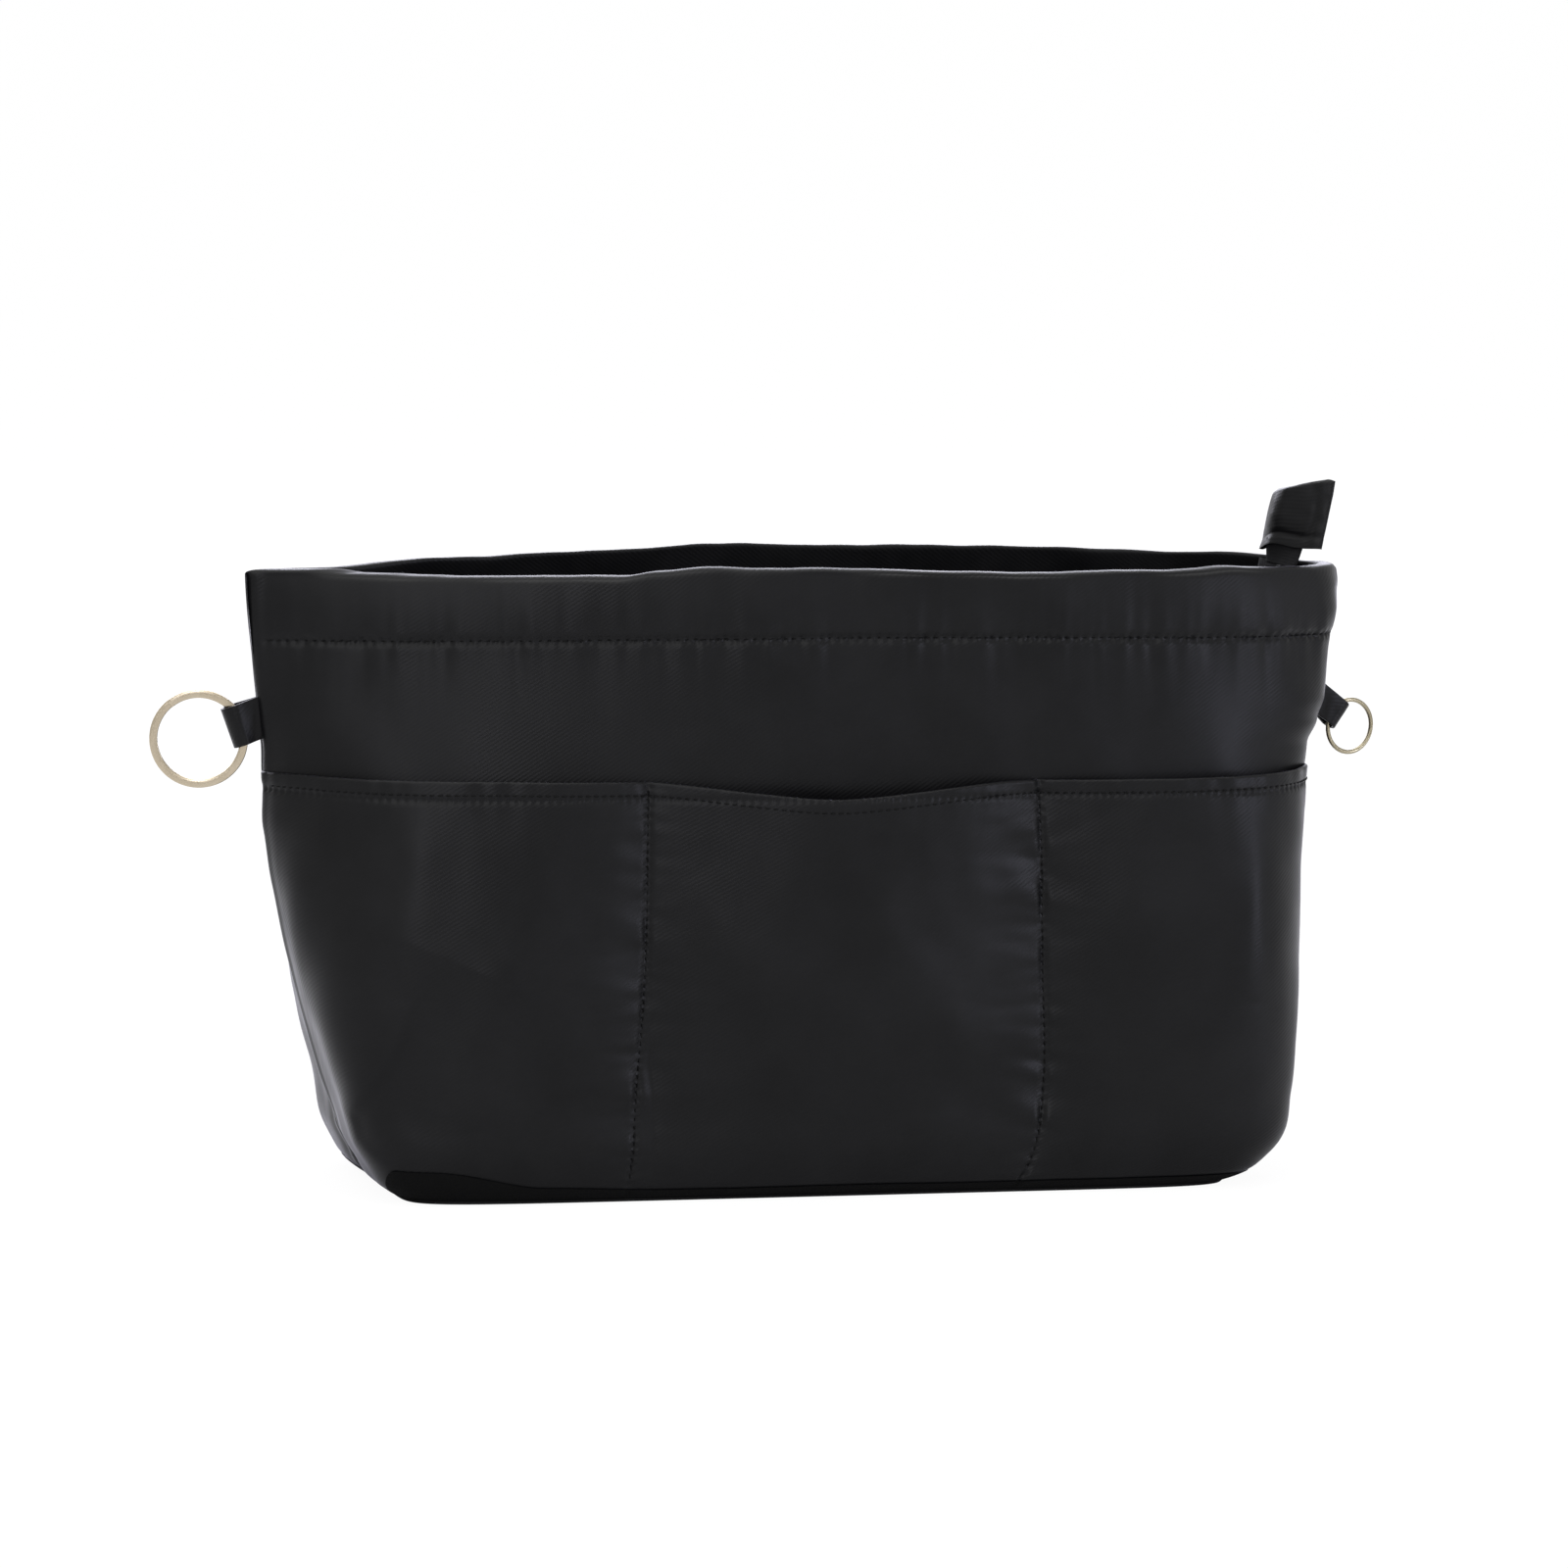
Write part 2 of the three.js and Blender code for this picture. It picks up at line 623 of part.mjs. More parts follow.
// Right: a small ring of round wire
const smallRingMean = smallRingRadius - smallRingWire / 2;
const rightFrame = tabFrame(1, rightTab);
const rightSeat = ringSeat(rightTab, smallRingMean, smallRingWire / 2, smallRingWire / 2);
piece('right_tab', tabSolid(rightFrame, rightTab, rightSeat.hole), black.nylon, 0.7);
const smallRing = new THREE.TorusGeometry(smallRingMean, smallRingWire / 2, 6, 28);
piece('small_ring', smallRing.applyMatrix4(ringFrame(rightFrame, rightTab, rightSeat)), metal.nickel, 0.25, 1);

export default group;
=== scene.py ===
"""Purse organizer insert: a sewn insert of black satin nylon that stands open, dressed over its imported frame.

Lengths are in millimetres until they go into Blender, which takes metres. A place on a cloth wall is given as
its share of the wall's width, 0 at the left-hand side seam and 1 at the right-hand one, and its height.
"""
import math

import bmesh
import bpy
import numpy as np
from mathutils import Matrix, Vector


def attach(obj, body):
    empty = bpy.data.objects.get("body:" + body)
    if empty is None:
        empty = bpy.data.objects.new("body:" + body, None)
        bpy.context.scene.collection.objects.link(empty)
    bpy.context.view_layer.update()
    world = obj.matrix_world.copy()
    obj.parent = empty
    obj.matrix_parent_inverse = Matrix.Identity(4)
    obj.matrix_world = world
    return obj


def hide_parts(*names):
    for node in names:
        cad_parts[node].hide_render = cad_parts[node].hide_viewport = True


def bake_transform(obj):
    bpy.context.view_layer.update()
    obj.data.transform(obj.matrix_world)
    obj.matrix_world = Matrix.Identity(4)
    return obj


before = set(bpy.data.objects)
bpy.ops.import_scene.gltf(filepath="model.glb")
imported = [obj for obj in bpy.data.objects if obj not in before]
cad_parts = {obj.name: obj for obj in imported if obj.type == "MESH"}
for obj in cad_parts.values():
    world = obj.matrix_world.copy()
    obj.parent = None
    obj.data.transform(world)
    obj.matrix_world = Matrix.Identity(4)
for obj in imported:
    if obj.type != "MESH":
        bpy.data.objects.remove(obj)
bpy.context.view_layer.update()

MM = 0.001
FRONT, BACK = -1, 1
SIDES = (("front", FRONT), ("back", BACK))

# Sizes of the sewn body
HEIGHT = 158
RIM_HALF_WIDTH = 145.5
RIM_RISE = 2.5
MOUTH_HALF_DEPTH = 31.5
BASE_HALF_LENGTH = 110
BASE_HALF_DEPTH = 40
BELLY = 2
WALL_WIDTH = 306

# Cloth layers
SHELL_CLOTH = 1
LINING_CLOTH = 0.8
BONING = 0.8
BONING_MARGIN = 1.2
SEWN_GAP = 0.3
SEAM_GAP = 0.3
LINING_INSET = SHELL_CLOTH + SEWN_GAP
FACING_INSET = LINING_INSET + BONING + SEWN_GAP
INNER_INSET = LINING_INSET + LINING_CLOTH + SEWN_GAP
LINING_BOTTOM = 3.6

# Rim casing
CASING = 18
RIM_FOLD_RADIUS = (FACING_INSET + LINING_CLOTH) / 2
CASING_STITCH = 2.5
RIM_SQUARENESS = 0.6
RIM_SLOPE = 0.17

# Pockets
POCKET_TOP = {FRONT: 106, BACK: 100}
POCKET_SWELL = {FRONT: 8, BACK: 6.5}
DIVIDERS = {FRONT: (8 / 24, 16 / 24), BACK: (12 / 24,)}
SLIP_POCKET_TOP = 92
SLIP_POCKET_BOTTOM = 26
SLIP_POCKET_SWELL = 7
SLIP_SHARES = (5 / 24, 19 / 24)
POCKET_INSET = -SEWN_GAP - SHELL_CLOTH
HEM = 3.4
HEM_FOLD_RADIUS = 0.65
HEM_STITCH = 2.1
DIVIDER_STITCH = 2.4
UNDER_TURN = 9
BOTTOM_RADIUS = 5
SWELL_ROUND = 0.9
SWELL_RISE = 0.55
SWELL_ENDS = (0.12, 0.16)
STITCH_PROUD = 0.1
STITCH_LEAN = 0.07
STITCH_FLATNESS = 2.4

# Recessed zip
WING_HEIGHT = 19
WING_SHARES = (6 / 24, 21 / 24)
TAPE_WIDTH = 6.5
TAPE_THICKNESS = 0.5
CHAIN_WIDTH = 1.6
CHAIN_THICKNESS = 1.6
CHAIN_HALF_GAP = 0.6
COIL_PITCH = 1.25
COIL_WIRE = 0.3

# Tail of the zip
TAIL_FROM_RIM_END = 14.5
TAIL_HINGE_RISE = 0.5
TAIL_LENGTH = 28
TAIL_LEAN = 12
TAIL_TURN = -62
TAPE_START_BEND = 10
TAPE_FOOT_BEND = 14
TAPE_TURN_IN = 0.3
CAP_LENGTH = 19
CAP_HALF_WIDTH = 8.2
CAP_THICKNESS = 3
CAP_HEM = 2.6
CAP_HEM_SPREAD = 1.6
CAP_TOP_SPREAD = 0.4
CAP_TOP_RISE = 1.2
CAP_TOP_SLOPE = 3.4
CAP_TWIST = (16, 27)
CAP_ROLL_START = 3.2
STUB_EDGES = (-6.6, 4.2)
STUB_HALF_THICKNESS = 0.55

# Tabs and rings
LEFT_TAB = {"side": -1, "rise": 10.5, "reach": 3.2, "place": 119.5, "droop": 20, "turn": -12}
RIGHT_TAB = {"side": 1, "rise": 7.6, "reach": 6.8, "place": 122.4, "droop": 38, "turn": 17}
TAB_CLOTH = 0.8
TAB_ROOT_RADIUS = 1
TAB_TAIL = 2.6
LEFT_HOLE, LEFT_RING_OUT = 2.6, 11.08
RIGHT_HOLE, RIGHT_RING_OUT = 1.57, 6.33
KEY_RING_MEAN = 11.5
KEY_RING_BAND = 2.1
KEY_RING_WIRE = 0.8
KEY_RING_PITCH = KEY_RING_WIRE * 1.08
KEY_RING_TURNS = 1.86
KEY_RING_START = 70
SMALL_RING_MEAN = 6.9
SMALL_RING_WIRE = 1.2

# The photographer's camera
CAMERA_AZIMUTH = -14.812
CAMERA_ELEVATION = 6.883
CAMERA_DISTANCE = 2337.1
CAMERA_TARGET = Vector((-3.118, 0, 101.321))
CAMERA_ROLL = 1.038
CAMERA_LENS = 208.03

# How finely the body's level sections are measured
LEVELS = 160
SECTION_STEPS = 480

# How many hills and hollows each way a pattern of waves has before it repeats
WAVE_CELLS = 64


def mix(a, b, part):
    return a + (b - a) * part


def ease(low, high, value):
    part = np.clip((value - low) / (high - low), 0, 1)
    return part * part * (3 - 2 * part)


def bell(away, width):
    return np.exp(-(away / width) ** 2)


def squared(value, power):
    """Draws a sine or a cosine out to a squarer turn, for a power under 1."""
    return np.sign(value) * np.abs(value) ** power


def unit(v):
    v = np.asarray(v, float)
    return v / np.linalg.norm(v, axis=-1, keepdims=True)


def length_along(points):
    """The length of a line of points up to each of them."""
    return np.concatenate([[0], np.cumsum(np.linalg.norm(np.diff(points, axis=0), axis=1))])


def to_seam(share):
    """How far a place on a wall is from the nearer side seam."""
    return np.minimum(share, 1 - share) * WALL_WIDTH


# The sewn body's own shape


def half_width(side, up):
    """Half the body's length at a height, where the left-hand end leans out more than the right-hand one."""
    left = 1 - (1 - up) ** 1.6
    right = 0.55 * (1 - np.exp(-up / 0.08)) + 0.45 * up ** 1.8
    return mix(BASE_HALF_LENGTH, RIM_HALF_WIDTH, np.where(side < 0, left, right))


def half_depth(up):
    """Half the body's depth at a height, with a slight belly."""
    return mix(BASE_HALF_DEPTH, MOUTH_HALF_DEPTH, up) + BELLY * np.sin(math.pi * up)


def measure_sections():
    """The front wall's level sections, each as points an equal length of cloth apart."""
    angle = math.pi * (1 - np.arange(SECTION_STEPS + 1) / SECTION_STEPS)
    side = np.where(np.cos(angle) < 0, -1, 1)
    across, deep = [], []
    for up in np.linspace(0, 1, LEVELS + 1):
        power = mix(np.where(side < 0, 2.2, 3.2), 9, (1 - up) ** 3)
        end_power = mix(1 / 9, np.where(side < 0, 1.15, 0.5), up ** 2)
        x = side * np.abs(np.cos(angle)) ** (2 / power) * half_width(side, up)
        y = -np.abs(np.sin(angle)) ** (2 * end_power) * half_depth(up)
        run = np.concatenate([[0], np.cumsum(np.hypot(np.diff(x), np.diff(y)))])
        even = np.linspace(0, run[-1], SECTION_STEPS + 1)
        across.append(np.interp(even, run, x))
        deep.append(np.interp(even, run, y))
    return np.array(across), np.array(deep)


SECTION_X, SECTION_Y = measure_sections()


def read_sections(values, share, up):
    """The measured sections' value at any share of the width and the height."""
    column = np.clip(share, 0, 1) * SECTION_STEPS
    row = np.clip(up, 0, 1) * LEVELS
    i = np.minimum(column.astype(int), SECTION_STEPS - 1)
    j = np.minimum(row.astype(int), LEVELS - 1)
    low = mix(values[j, i], values[j, i + 1], column - i)
    high = mix(values[j + 1, i], values[j + 1, i + 1], column - i)
    return mix(low, high, row - j)


def rim_height(share):
    return HEIGHT + RIM_RISE * np.sin(math.pi * share)


def casing_bottom(share):
    return rim_height(share) - CASING


def through(points, value):
    """A smooth line through (place, value) points, level at each."""
    places, values = np.array(points).T
    i = np.clip(np.searchsorted(places, value, side="right") - 1, 0, len(places) - 2)
    return mix(values[i], values[i + 1], ease(0, 1, (value - places[i]) / (places[i + 1] - places[i])))


# How far the side seams draw the two ends in at each height, where less than nothing pushes them out
RIGHT_DRAW = ((0, 0), (8, 0.6), (24, 4.4), (38, 5.6), (56, 5.2), (80, 4.5), (100, 3.4), (112, 3.0),
              (118, 0.8), (124, -0.6), (136, -0.3), (145, -0.9), (152, 0.1), (160, 1.8))
LEFT_DRAW = ((0, 0), (7, -1.6), (16, -3.8), (30, -4.6), (60, -4.4), (78, -3.8), (92, -3.0), (104, -1.2),
             (114, 0), (160, 0))


def end_draw(face, share, z):
    """How far a wall's place is moved to the left, by what the two side seams draw in or push out."""
    right = ease(0.82, 0.94, share) * through(RIGHT_DRAW, z)
    shorter = 6 * ease(72, 90, z) if face == BACK else 0
    left = np.clip(1 - share / 0.13, 0, 1) ** (1.3 + shorter) * through(LEFT_DRAW, z)
    return right - left


def wall(face, share, z, inset=0.0, relief=0.0):
    """Points of a wall, `inset` inside the shell's outer face and `relief` out from there."""
    share, z, inset, relief = np.broadcast_arrays(share, z, inset, relief)
    share, z = share.astype(float), z.astype(float)
    up = np.clip(z / rim_height(share), 0, 1)
    x, y = read_sections(SECTION_X, share, up), read_sections(SECTION_Y, share, up)
    step = 0.006
    along_x = read_sections(SECTION_X, share + step, up) - read_sections(SECTION_X, share - step, up)
    along_y = read_sections(SECTION_Y, share + step, up) - read_sections(SECTION_Y, share - step, up)
    length = np.hypot(along_x, along_y) + 1e-9
    side = np.where(x < 0, -1, 1)
    end_share = np.where(inset > 0, mix(1, np.where(side < 0, 3.5, 1.4), up), 1)
    x = x * (1 - inset * end_share / half_width(side, up)) + along_y / length * relief
    x = x - end_draw(face, share, z)
    y = y * (1 - inset / half_depth(up)) - along_x / length * relief - SEAM_GAP / 2
    return np.stack([x, -face * y, z], axis=-1)


def waves(x, y, seed):
    """Smooth hills and hollows between about -1 and 1, one to each unit of x and y."""
    angles = np.random.default_rng(seed).uniform(0, 2 * math.pi, (WAVE_CELLS, WAVE_CELLS))
    x, y = np.broadcast_arrays(np.asarray(x, float), np.asarray(y, float))
    i, j = np.floor(x).astype(int), np.floor(y).astype(int)

    def corner(a, b):
        turn = angles[a % WAVE_CELLS, b % WAVE_CELLS]
        return np.cos(turn) * (x - a) + np.sin(turn) * (y - b)

    u, v = ease(0, 1, x - i), ease(0, 1, y - j)
    low = mix(corner(i, j), corner(i + 1, j), u)
    high = mix(corner(i, j + 1), corner(i + 1, j + 1), u)
    return 1.5 * mix(low, high, v)


def fold(x, z, line, width, rise, right=None, flank=None):
    """A fold of the cloth along a line of (x, z) places, which dies away at its two ends. `right` is the
    width of its right-hand side where that differs, and `flank` gives a crest long straight sides."""
    line = np.array(line, float)
    steps = np.hypot(*np.diff(line, axis=0).T)
    before = np.concatenate([[0], np.cumsum(steps)])
    nearest, on_right, stretches = np.inf, False, []
    for (x0, z0), (x1, z1), step, run in zip(line[:-1], line[1:], steps, before):
        part = np.clip(((x - x0) * (x1 - x0) + (z - z0) * (z1 - z0)) / step ** 2, 0, 1)
        away = np.hypot(x - mix(x0, x1, part), z - mix(z0, z1, part))
        on_right = np.where(away < nearest, (x1 - x0) * (z - z0) - (z1 - z0) * (x - x0) > 0, on_right)
        nearest = np.minimum(nearest, away)
        stretches.append((away, np.clip((run + part * step) / before[-1], 0.02, 0.98)))
    narrower = np.where(on_right, width / (right or width), 1)
    strength = 0
    for away, place in stretches:
        away = away * narrower
        near = np.exp((width - np.hypot(away, width)) / flank) if flank else bell(away, width)
        strength = np.maximum(strength, near * np.sin(math.pi * place) ** 0.7)
    return rise * strength


# Making pieces


MERGE_DISTANCE = 0.001 * MM


def finish_piece(name, mesh, material, body, replaced=()):
    """Makes a piece of a mesh, with its material, slot, replaced nodes and the body it rides on."""
    data = bpy.data.meshes.new(name)
    mesh.to_mesh(data)
    mesh.free()
    for polygon in data.polygons:
        polygon.use_smooth = True
    piece = bpy.data.objects.new(name, data)
    bpy.context.scene.collection.objects.link(piece)
    data.materials.append(material)
    if replaced:
        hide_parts(*replaced)
    if body:
        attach(piece, body)
    return piece


def thicken(piece, thickness):
    """Gives a sheet its thickness, half of it to each side."""
    solid = piece.modifiers.new("thickness", "SOLIDIFY")
    solid.thickness = thickness * MM
    solid.offset = 0


def round_edges(piece, width, segments):
    bevel = piece.modifiers.new("rounded edges", "BEVEL")
    bevel.width = width * MM
    bevel.segments = segments
    bevel.limit_method = "ANGLE"


def laid_grid(columns, rows, place, turned=False):
    """A grid of cloth whose points `place` puts where they lie. It is given each point's share of the grid's
    two ways, and gives back its position and its place on the flat cloth, both in millimetres."""
    mesh = bmesh.new()
    bmesh.ops.create_grid(mesh, x_segments=columns, y_segments=rows, size=0.5)
    data = bpy.data.meshes.new("grid")
    mesh.to_mesh(data)
    mesh.free()
    spots = np.empty(len(data.vertices) * 3)
    data.vertices.foreach_get("co", spots)
    spots = spots.reshape(-1, 3) + 0.5
    points, flat = place(spots[:, 0], spots[:, 1])
    data.vertices.foreach_set("co", (points * MM).ravel())
    corners = np.empty(len(data.loops), dtype=np.int32)
    data.loops.foreach_get("vertex_index", corners)
    data.uv_layers.new(name="cloth").data.foreach_set("uv", (flat[corners] * MM).ravel())
    mesh = bmesh.new()
    mesh.from_mesh(data)
    bpy.data.meshes.remove(data)
    if turned:
        bmesh.ops.reverse_faces(mesh, faces=mesh.faces[:])
    return mesh


def tube(points, ups, radii, sides, closed=False, squareness=1):
    """A tube of an oval section along a line of points. `ups` gives the section's second axis at each, and a
    `squareness` under 1 makes the section nearly a rectangle with rounded corners."""
    count = len(points)
    if closed:
        tangents = unit(np.roll(points, -1, axis=0) - np.roll(points, 1, axis=0))
    else:
        tangents = unit(np.gradient(points, axis=0))
    sideways = unit(np.cross(tangents, ups))
    ups = np.cross(sideways, tangents)

    def place(u, v):
        i = np.rint(u * (count if closed else count - 1)).astype(int) % count
        turn = 2 * math.pi * v
        wide = squared(np.cos(turn), squareness) * radii[0]
        deep = squared(np.sin(turn), squareness) * radii[1]
        spots = points[i] + wide[:, None] * sideways[i] + deep[:, None] * ups[i]
        return spots, np.stack([u * 100, v * 10], axis=-1)

    mesh = laid_grid(count if closed else count - 1, sides, place)
    bmesh.ops.remove_doubles(mesh, verts=mesh.verts[:], dist=MERGE_DISTANCE)
    bmesh.ops.holes_fill(mesh, edges=mesh.edges[:], sides=sides)
    bmesh.ops.recalc_face_normals(mesh, faces=mesh.faces[:])
    return mesh


def stitch_row(name, points, normals, material, body, pitch=2.5, length=1.9, width=0.42):
    """A row of lockstitches along a line: each stitch is a short plump loop of thread, a little aslant."""
    run = length_along(points)
    mesh = bmesh.new()
    bmesh.ops.create_uvsphere(mesh, u_segments=6, v_segments=5, radius=1)
    bmesh.ops.recalc_face_normals(mesh, faces=mesh.faces[:])
    stitch = bpy.data.meshes.new("stitch")
    mesh.to_mesh(stitch)
    mesh.clear()
    for place in np.arange(pitch, run[-1] - pitch / 2, pitch):
        at = [np.interp(place, run, points[:, k]) for k in range(3)]
        ahead = [np.interp(place + pitch / 2, run, points[:, k]) for k in range(3)]
        along = (Vector(ahead) - Vector(at)).normalized()
        up = Vector([np.interp(place, run, normals[:, k]) for k in range(3)])
        across = up.cross(along).normalized()
        up = along.cross(across)
        lean = along + across * STITCH_LEAN
        high = up * width / STITCH_FLATNESS
        basis = Matrix((lean * length / 2, across * width / 2, high)).transposed().to_4x4()
        where = Matrix.Translation(Vector(at) * MM) @ Matrix.Scale(MM, 4) @ basis
        stitch.transform(where)
        mesh.from_mesh(stitch)
        stitch.transform(where.inverted())
    bpy.data.meshes.remove(stitch)
    finish_piece(name, mesh, material, body)


def sew(name, face, share, z, inset, relief, *stitch):
    """A row of stitches on a wall's cloth, which lie just proud of it."""
    points = wall(face, share, z, inset, relief + STITCH_PROUD)
    outward = wall(face, share, z, 0, 5) - wall(face, share, z)
    stitch_row(name, points, outward, THREAD, "organizer", *stitch)


# Materials


def linear(hex_colour):
    """An sRGB hex colour as linear light."""
    values = [int(hex_colour[i:i + 2], 16) / 255 for i in (1, 3, 5)]
    return [v / 12.92 if v <= 0.04045 else ((v + 0.055) / 1.055) ** 2.4 for v in values] + [1]


def put(tree, node, **inputs):
    """Sets a node's inputs, by name or by _number. Each takes a value, or another node's output to link."""
    for key, value in inputs.items():
        numbered = key[0] == "_" and key[1:].isdigit()
        socket = node.inputs[int(key[1:]) if numbered else key.replace("_", " ")]
        if isinstance(value, bpy.types.NodeSocket):
            tree.links.new(value, socket)
        else:
            socket.default_value = value


def add(tree, kind, settings=None, **inputs):
    """Adds a node with its settings and inputs."""
    made = tree.nodes.new("ShaderNode" + kind)
    for key, value in (settings or {}).items():
        setattr(made, key, value)
    put(tree, made, **inputs)
    return made


def new_material(name):
    material = bpy.data.materials.new(name)
    material.use_nodes = True
    tree = material.node_tree
    shader = tree.nodes["Principled BSDF"]
    return material, tree, shader


def band_scale(pitch):
    """The Wave node's scale for bands a pitch apart. At a scale of 1 they lie a 20th of 2 pi apart."""
    return 1 / (pitch * MM * 20) * 2 * math.pi


def satin_nylon():
    """Satin nylon: a filament yarn woven in a fine diagonal twill. It is nearly black face on and has a
    soft lavender sheen where it turns away from the eye."""
    material, tree, shader = new_material("satin nylon")
    cloth = add(tree, "UVMap", {"uv_map": "cloth"}).outputs[0]
    turned = add(tree, "Mapping", Vector=cloth, Rotation=(0, 0, math.radians(58))).outputs[0]
    # The real twill is about 0.3 mm, too fine to show, so it is drawn 0.9 mm apart
    twill = add(tree, "TexWave", {"wave_type": "BANDS", "bands_direction": "X"}, Vector=turned,
                Scale=band_scale(0.9), Distortion=0.6, Detail=1.0, Detail_Scale=1.5)
    broad = add(tree, "TexNoise", Vector=cloth, Scale=1 / (28 * MM), Detail=3.0, Roughness=0.55)
    shade = add(tree, "MapRange", Value=broad.outputs[0], From_Min=0.3, From_Max=0.7)
    colour = add(tree, "Mix", {"data_type": "RGBA"}, Factor=shade.outputs[0], _6=linear("#0b0b0c"),
                 _7=linear("#111112"))
    gloss = add(tree, "MapRange", Value=broad.outputs[0], From_Min=0.3, From_Max=0.7, To_Min=0.34,
                To_Max=0.44)
    bump = add(tree, "Bump", Strength=0.25, Distance=0.08 * MM, Height=twill.outputs[1])
    put(tree, shader, Base_Color=colour.outputs[2], Roughness=gloss.outputs[0], Normal=bump.outputs[0],
        IOR=1.5, Specular_IOR_Level=0.12, Sheen_Weight=0.3, Sheen_Roughness=0.18,
        Sheen_Tint=linear("#c9c6dc"))
    return material


def plain_weave(name, dark, light, pitch, roughness, depth, specular=0.3, sheen=0.08):
    """A plain woven cloth: warp and weft cross over and under, and the light breaks up on their crowns. The
    real threads lie 0.2 to 0.4 mm apart, too fine to show, so `pitch` draws them coarser."""
    material, tree, shader = new_material(name)
    cloth = add(tree, "UVMap", {"uv_map": "cloth"}).outputs[0]
    warp, weft = (add(tree, "TexWave", {"bands_direction": way}, Vector=cloth, Scale=band_scale(pitch),
                      Distortion=0.4) for way in "XY")
    crossing = add(tree, "Math", {"operation": "MULTIPLY"}, _0=warp.outputs[1], _1=weft.outputs[1])
    broad = add(tree, "TexNoise", Vector=cloth, Scale=1 / (15 * MM), Detail=3.0)
    colour = add(tree, "Mix", {"data_type": "RGBA"}, Factor=broad.outputs[0], _6=linear(dark),
                 _7=linear(light))
    bump = add(tree, "Bump", Strength=0.5, Distance=depth * MM, Height=crossing.outputs[0])
    put(tree, shader, Base_Color=colour.outputs[2], Roughness=roughness, Normal=bump.outputs[0],
        Specular_IOR_Level=specular, Sheen_Weight=sheen, Sheen_Roughness=0.5)
    return material


def solid_finish(name, dark, light, roughness, metallic=0.0, grain=0.4, depth=0.02, specular=0.5):
    """A moulded, spun or plated finish, with a fine grain in its gloss and a faint unevenness of colour. The
    real grain is finer than `grain`, which is as coarse as it has to be to show."""
    material, tree, shader = new_material(name)
    spot = add(tree, "TexCoord").outputs["Object"]
    fine = add(tree, "TexNoise", Vector=spot, Scale=1 / (grain * MM), Detail=2.0)
    broad = add(tree, "TexNoise", Vector=spot, Scale=1 / (6 * MM), Detail=2.0)
    colour = add(tree, "Mix", {"data_type": "RGBA"}, Factor=broad.outputs[0], _6=linear(dark),
                 _7=linear(light))
    gloss = add(tree, "MapRange", Value=fine.outputs[0], From_Min=0.3, From_Max=0.7,
                To_Min=roughness - 0.05, To_Max=roughness + 0.05)
    bump = add(tree, "Bump", Strength=0.3, Distance=depth * MM, Height=fine.outputs[0])
    put(tree, shader, Base_Color=colour.outputs[2], Roughness=gloss.outputs[0], Normal=bump.outputs[0],
        Metallic=metallic, Specular_IOR_Level=specular)
    return material


NYLON = satin_nylon()
# Taffeta is a crisp, dull dark grey. The base's cloth is drawn flat black, darker than the satin, as painted
# shade where the body's foot turns under
LINING = plain_weave("lining taffeta", "#26262a", "#303035", 0.7, 0.55, 0.06)
PAINTED_SHADE_NYLON = plain_weave("base nylon painted shade", "#050505", "#080808", 0.9, 0.85, 0.08, specular=0.08, sheen=0.0)
# Zip tape is woven from spun yarn, dull and ribbed. Its coil is drawn nylon wire with a wet gloss
TAPE = plain_weave("woven zip tape", "#0d0d0e", "#131315", 0.8, 0.78, 0.12, specular=0.15, sheen=0.03)
COIL = solid_finish("nylon coil", "#141416", "#1c1c1f", 0.28)
# Spun polyester thread is dull and a little fuzzy, black outside and grey on the lining
THREAD = solid_finish("polyester thread", "#060606", "#0a0a0a", 0.7, grain=0.15, depth=0.05, specular=0.1)
LINING_THREAD = solid_finish("polyester lining thread", "#3a3a40", "#46464c", 0.6, grain=0.15, depth=0.05)
# The rings' plating is pale and warm, the slider's is dark and bluish, and all three mirror softly
CHAMPAGNE = solid_finish("champagne nickel plate", "#a1957f", "#b5aa96", 0.22, 1.0, grain=0.5, depth=0.01)
ANTIQUE_NICKEL = solid_finish("antique nickel plate", "#7f7862", "#978f7a", 0.25, 1.0, grain=0.5, depth=0.01)
GUNMETAL = solid_finish("gunmetal plated zinc", "#5c5c61", "#727278", 0.3, 1.0, grain=0.5, depth=0.01)
# Extruded boning is waxy and even. Pressed grey board is dry and fibrous
BONING_PLASTIC = solid_finish("polypropylene boning", "#191919", "#202020", 0.5)
BOARD = solid_finish("grey board", "#343434", "#404040", 0.9, grain=0.8, depth=0.1)


# Outer shell


def seam_roll(share, radius=2.2, depth=1.4, bead=0.35):
    """The cloth stands up in a bead beside the side seams and then rolls into them."""
    away = to_seam(share)
    part = np.clip(1 - away / radius, 0, 1)
    return bead * bell(away - 3, 1.4) - depth * (1 - np.sqrt(1 - part ** 2 * 0.999))


def casing_relief(share, z, seed):
    """Stitched casing: it puffs up between the rim and its stitches, which pucker the cloth on both sides."""
    x = share * WALL_WIDTH
    above = z - casing_bottom(share)
    puff = 0.9 * np.sin(math.pi * np.clip(above / CASING, 0, 1)) ** 0.8
    groove = -0.75 * bell(above, 0.9)
    dents = -0.35 * bell(above, 0.8) * np.cos(2 * math.pi * x / CASING_STITCH)
    puckers = 0.6 * waves(x / 4.6, z / 60, seed) + 0.25 * waves(x / 2.6, z / 40, seed + 1)
    puckers *= np.exp(-np.abs(above) / 5.5)
    long_puckers = 0.8 * waves(x / 10, z / 90, seed + 2) * np.exp(-np.abs(above) / 11)
    return puff + groove + dents + puckers + long_puckers


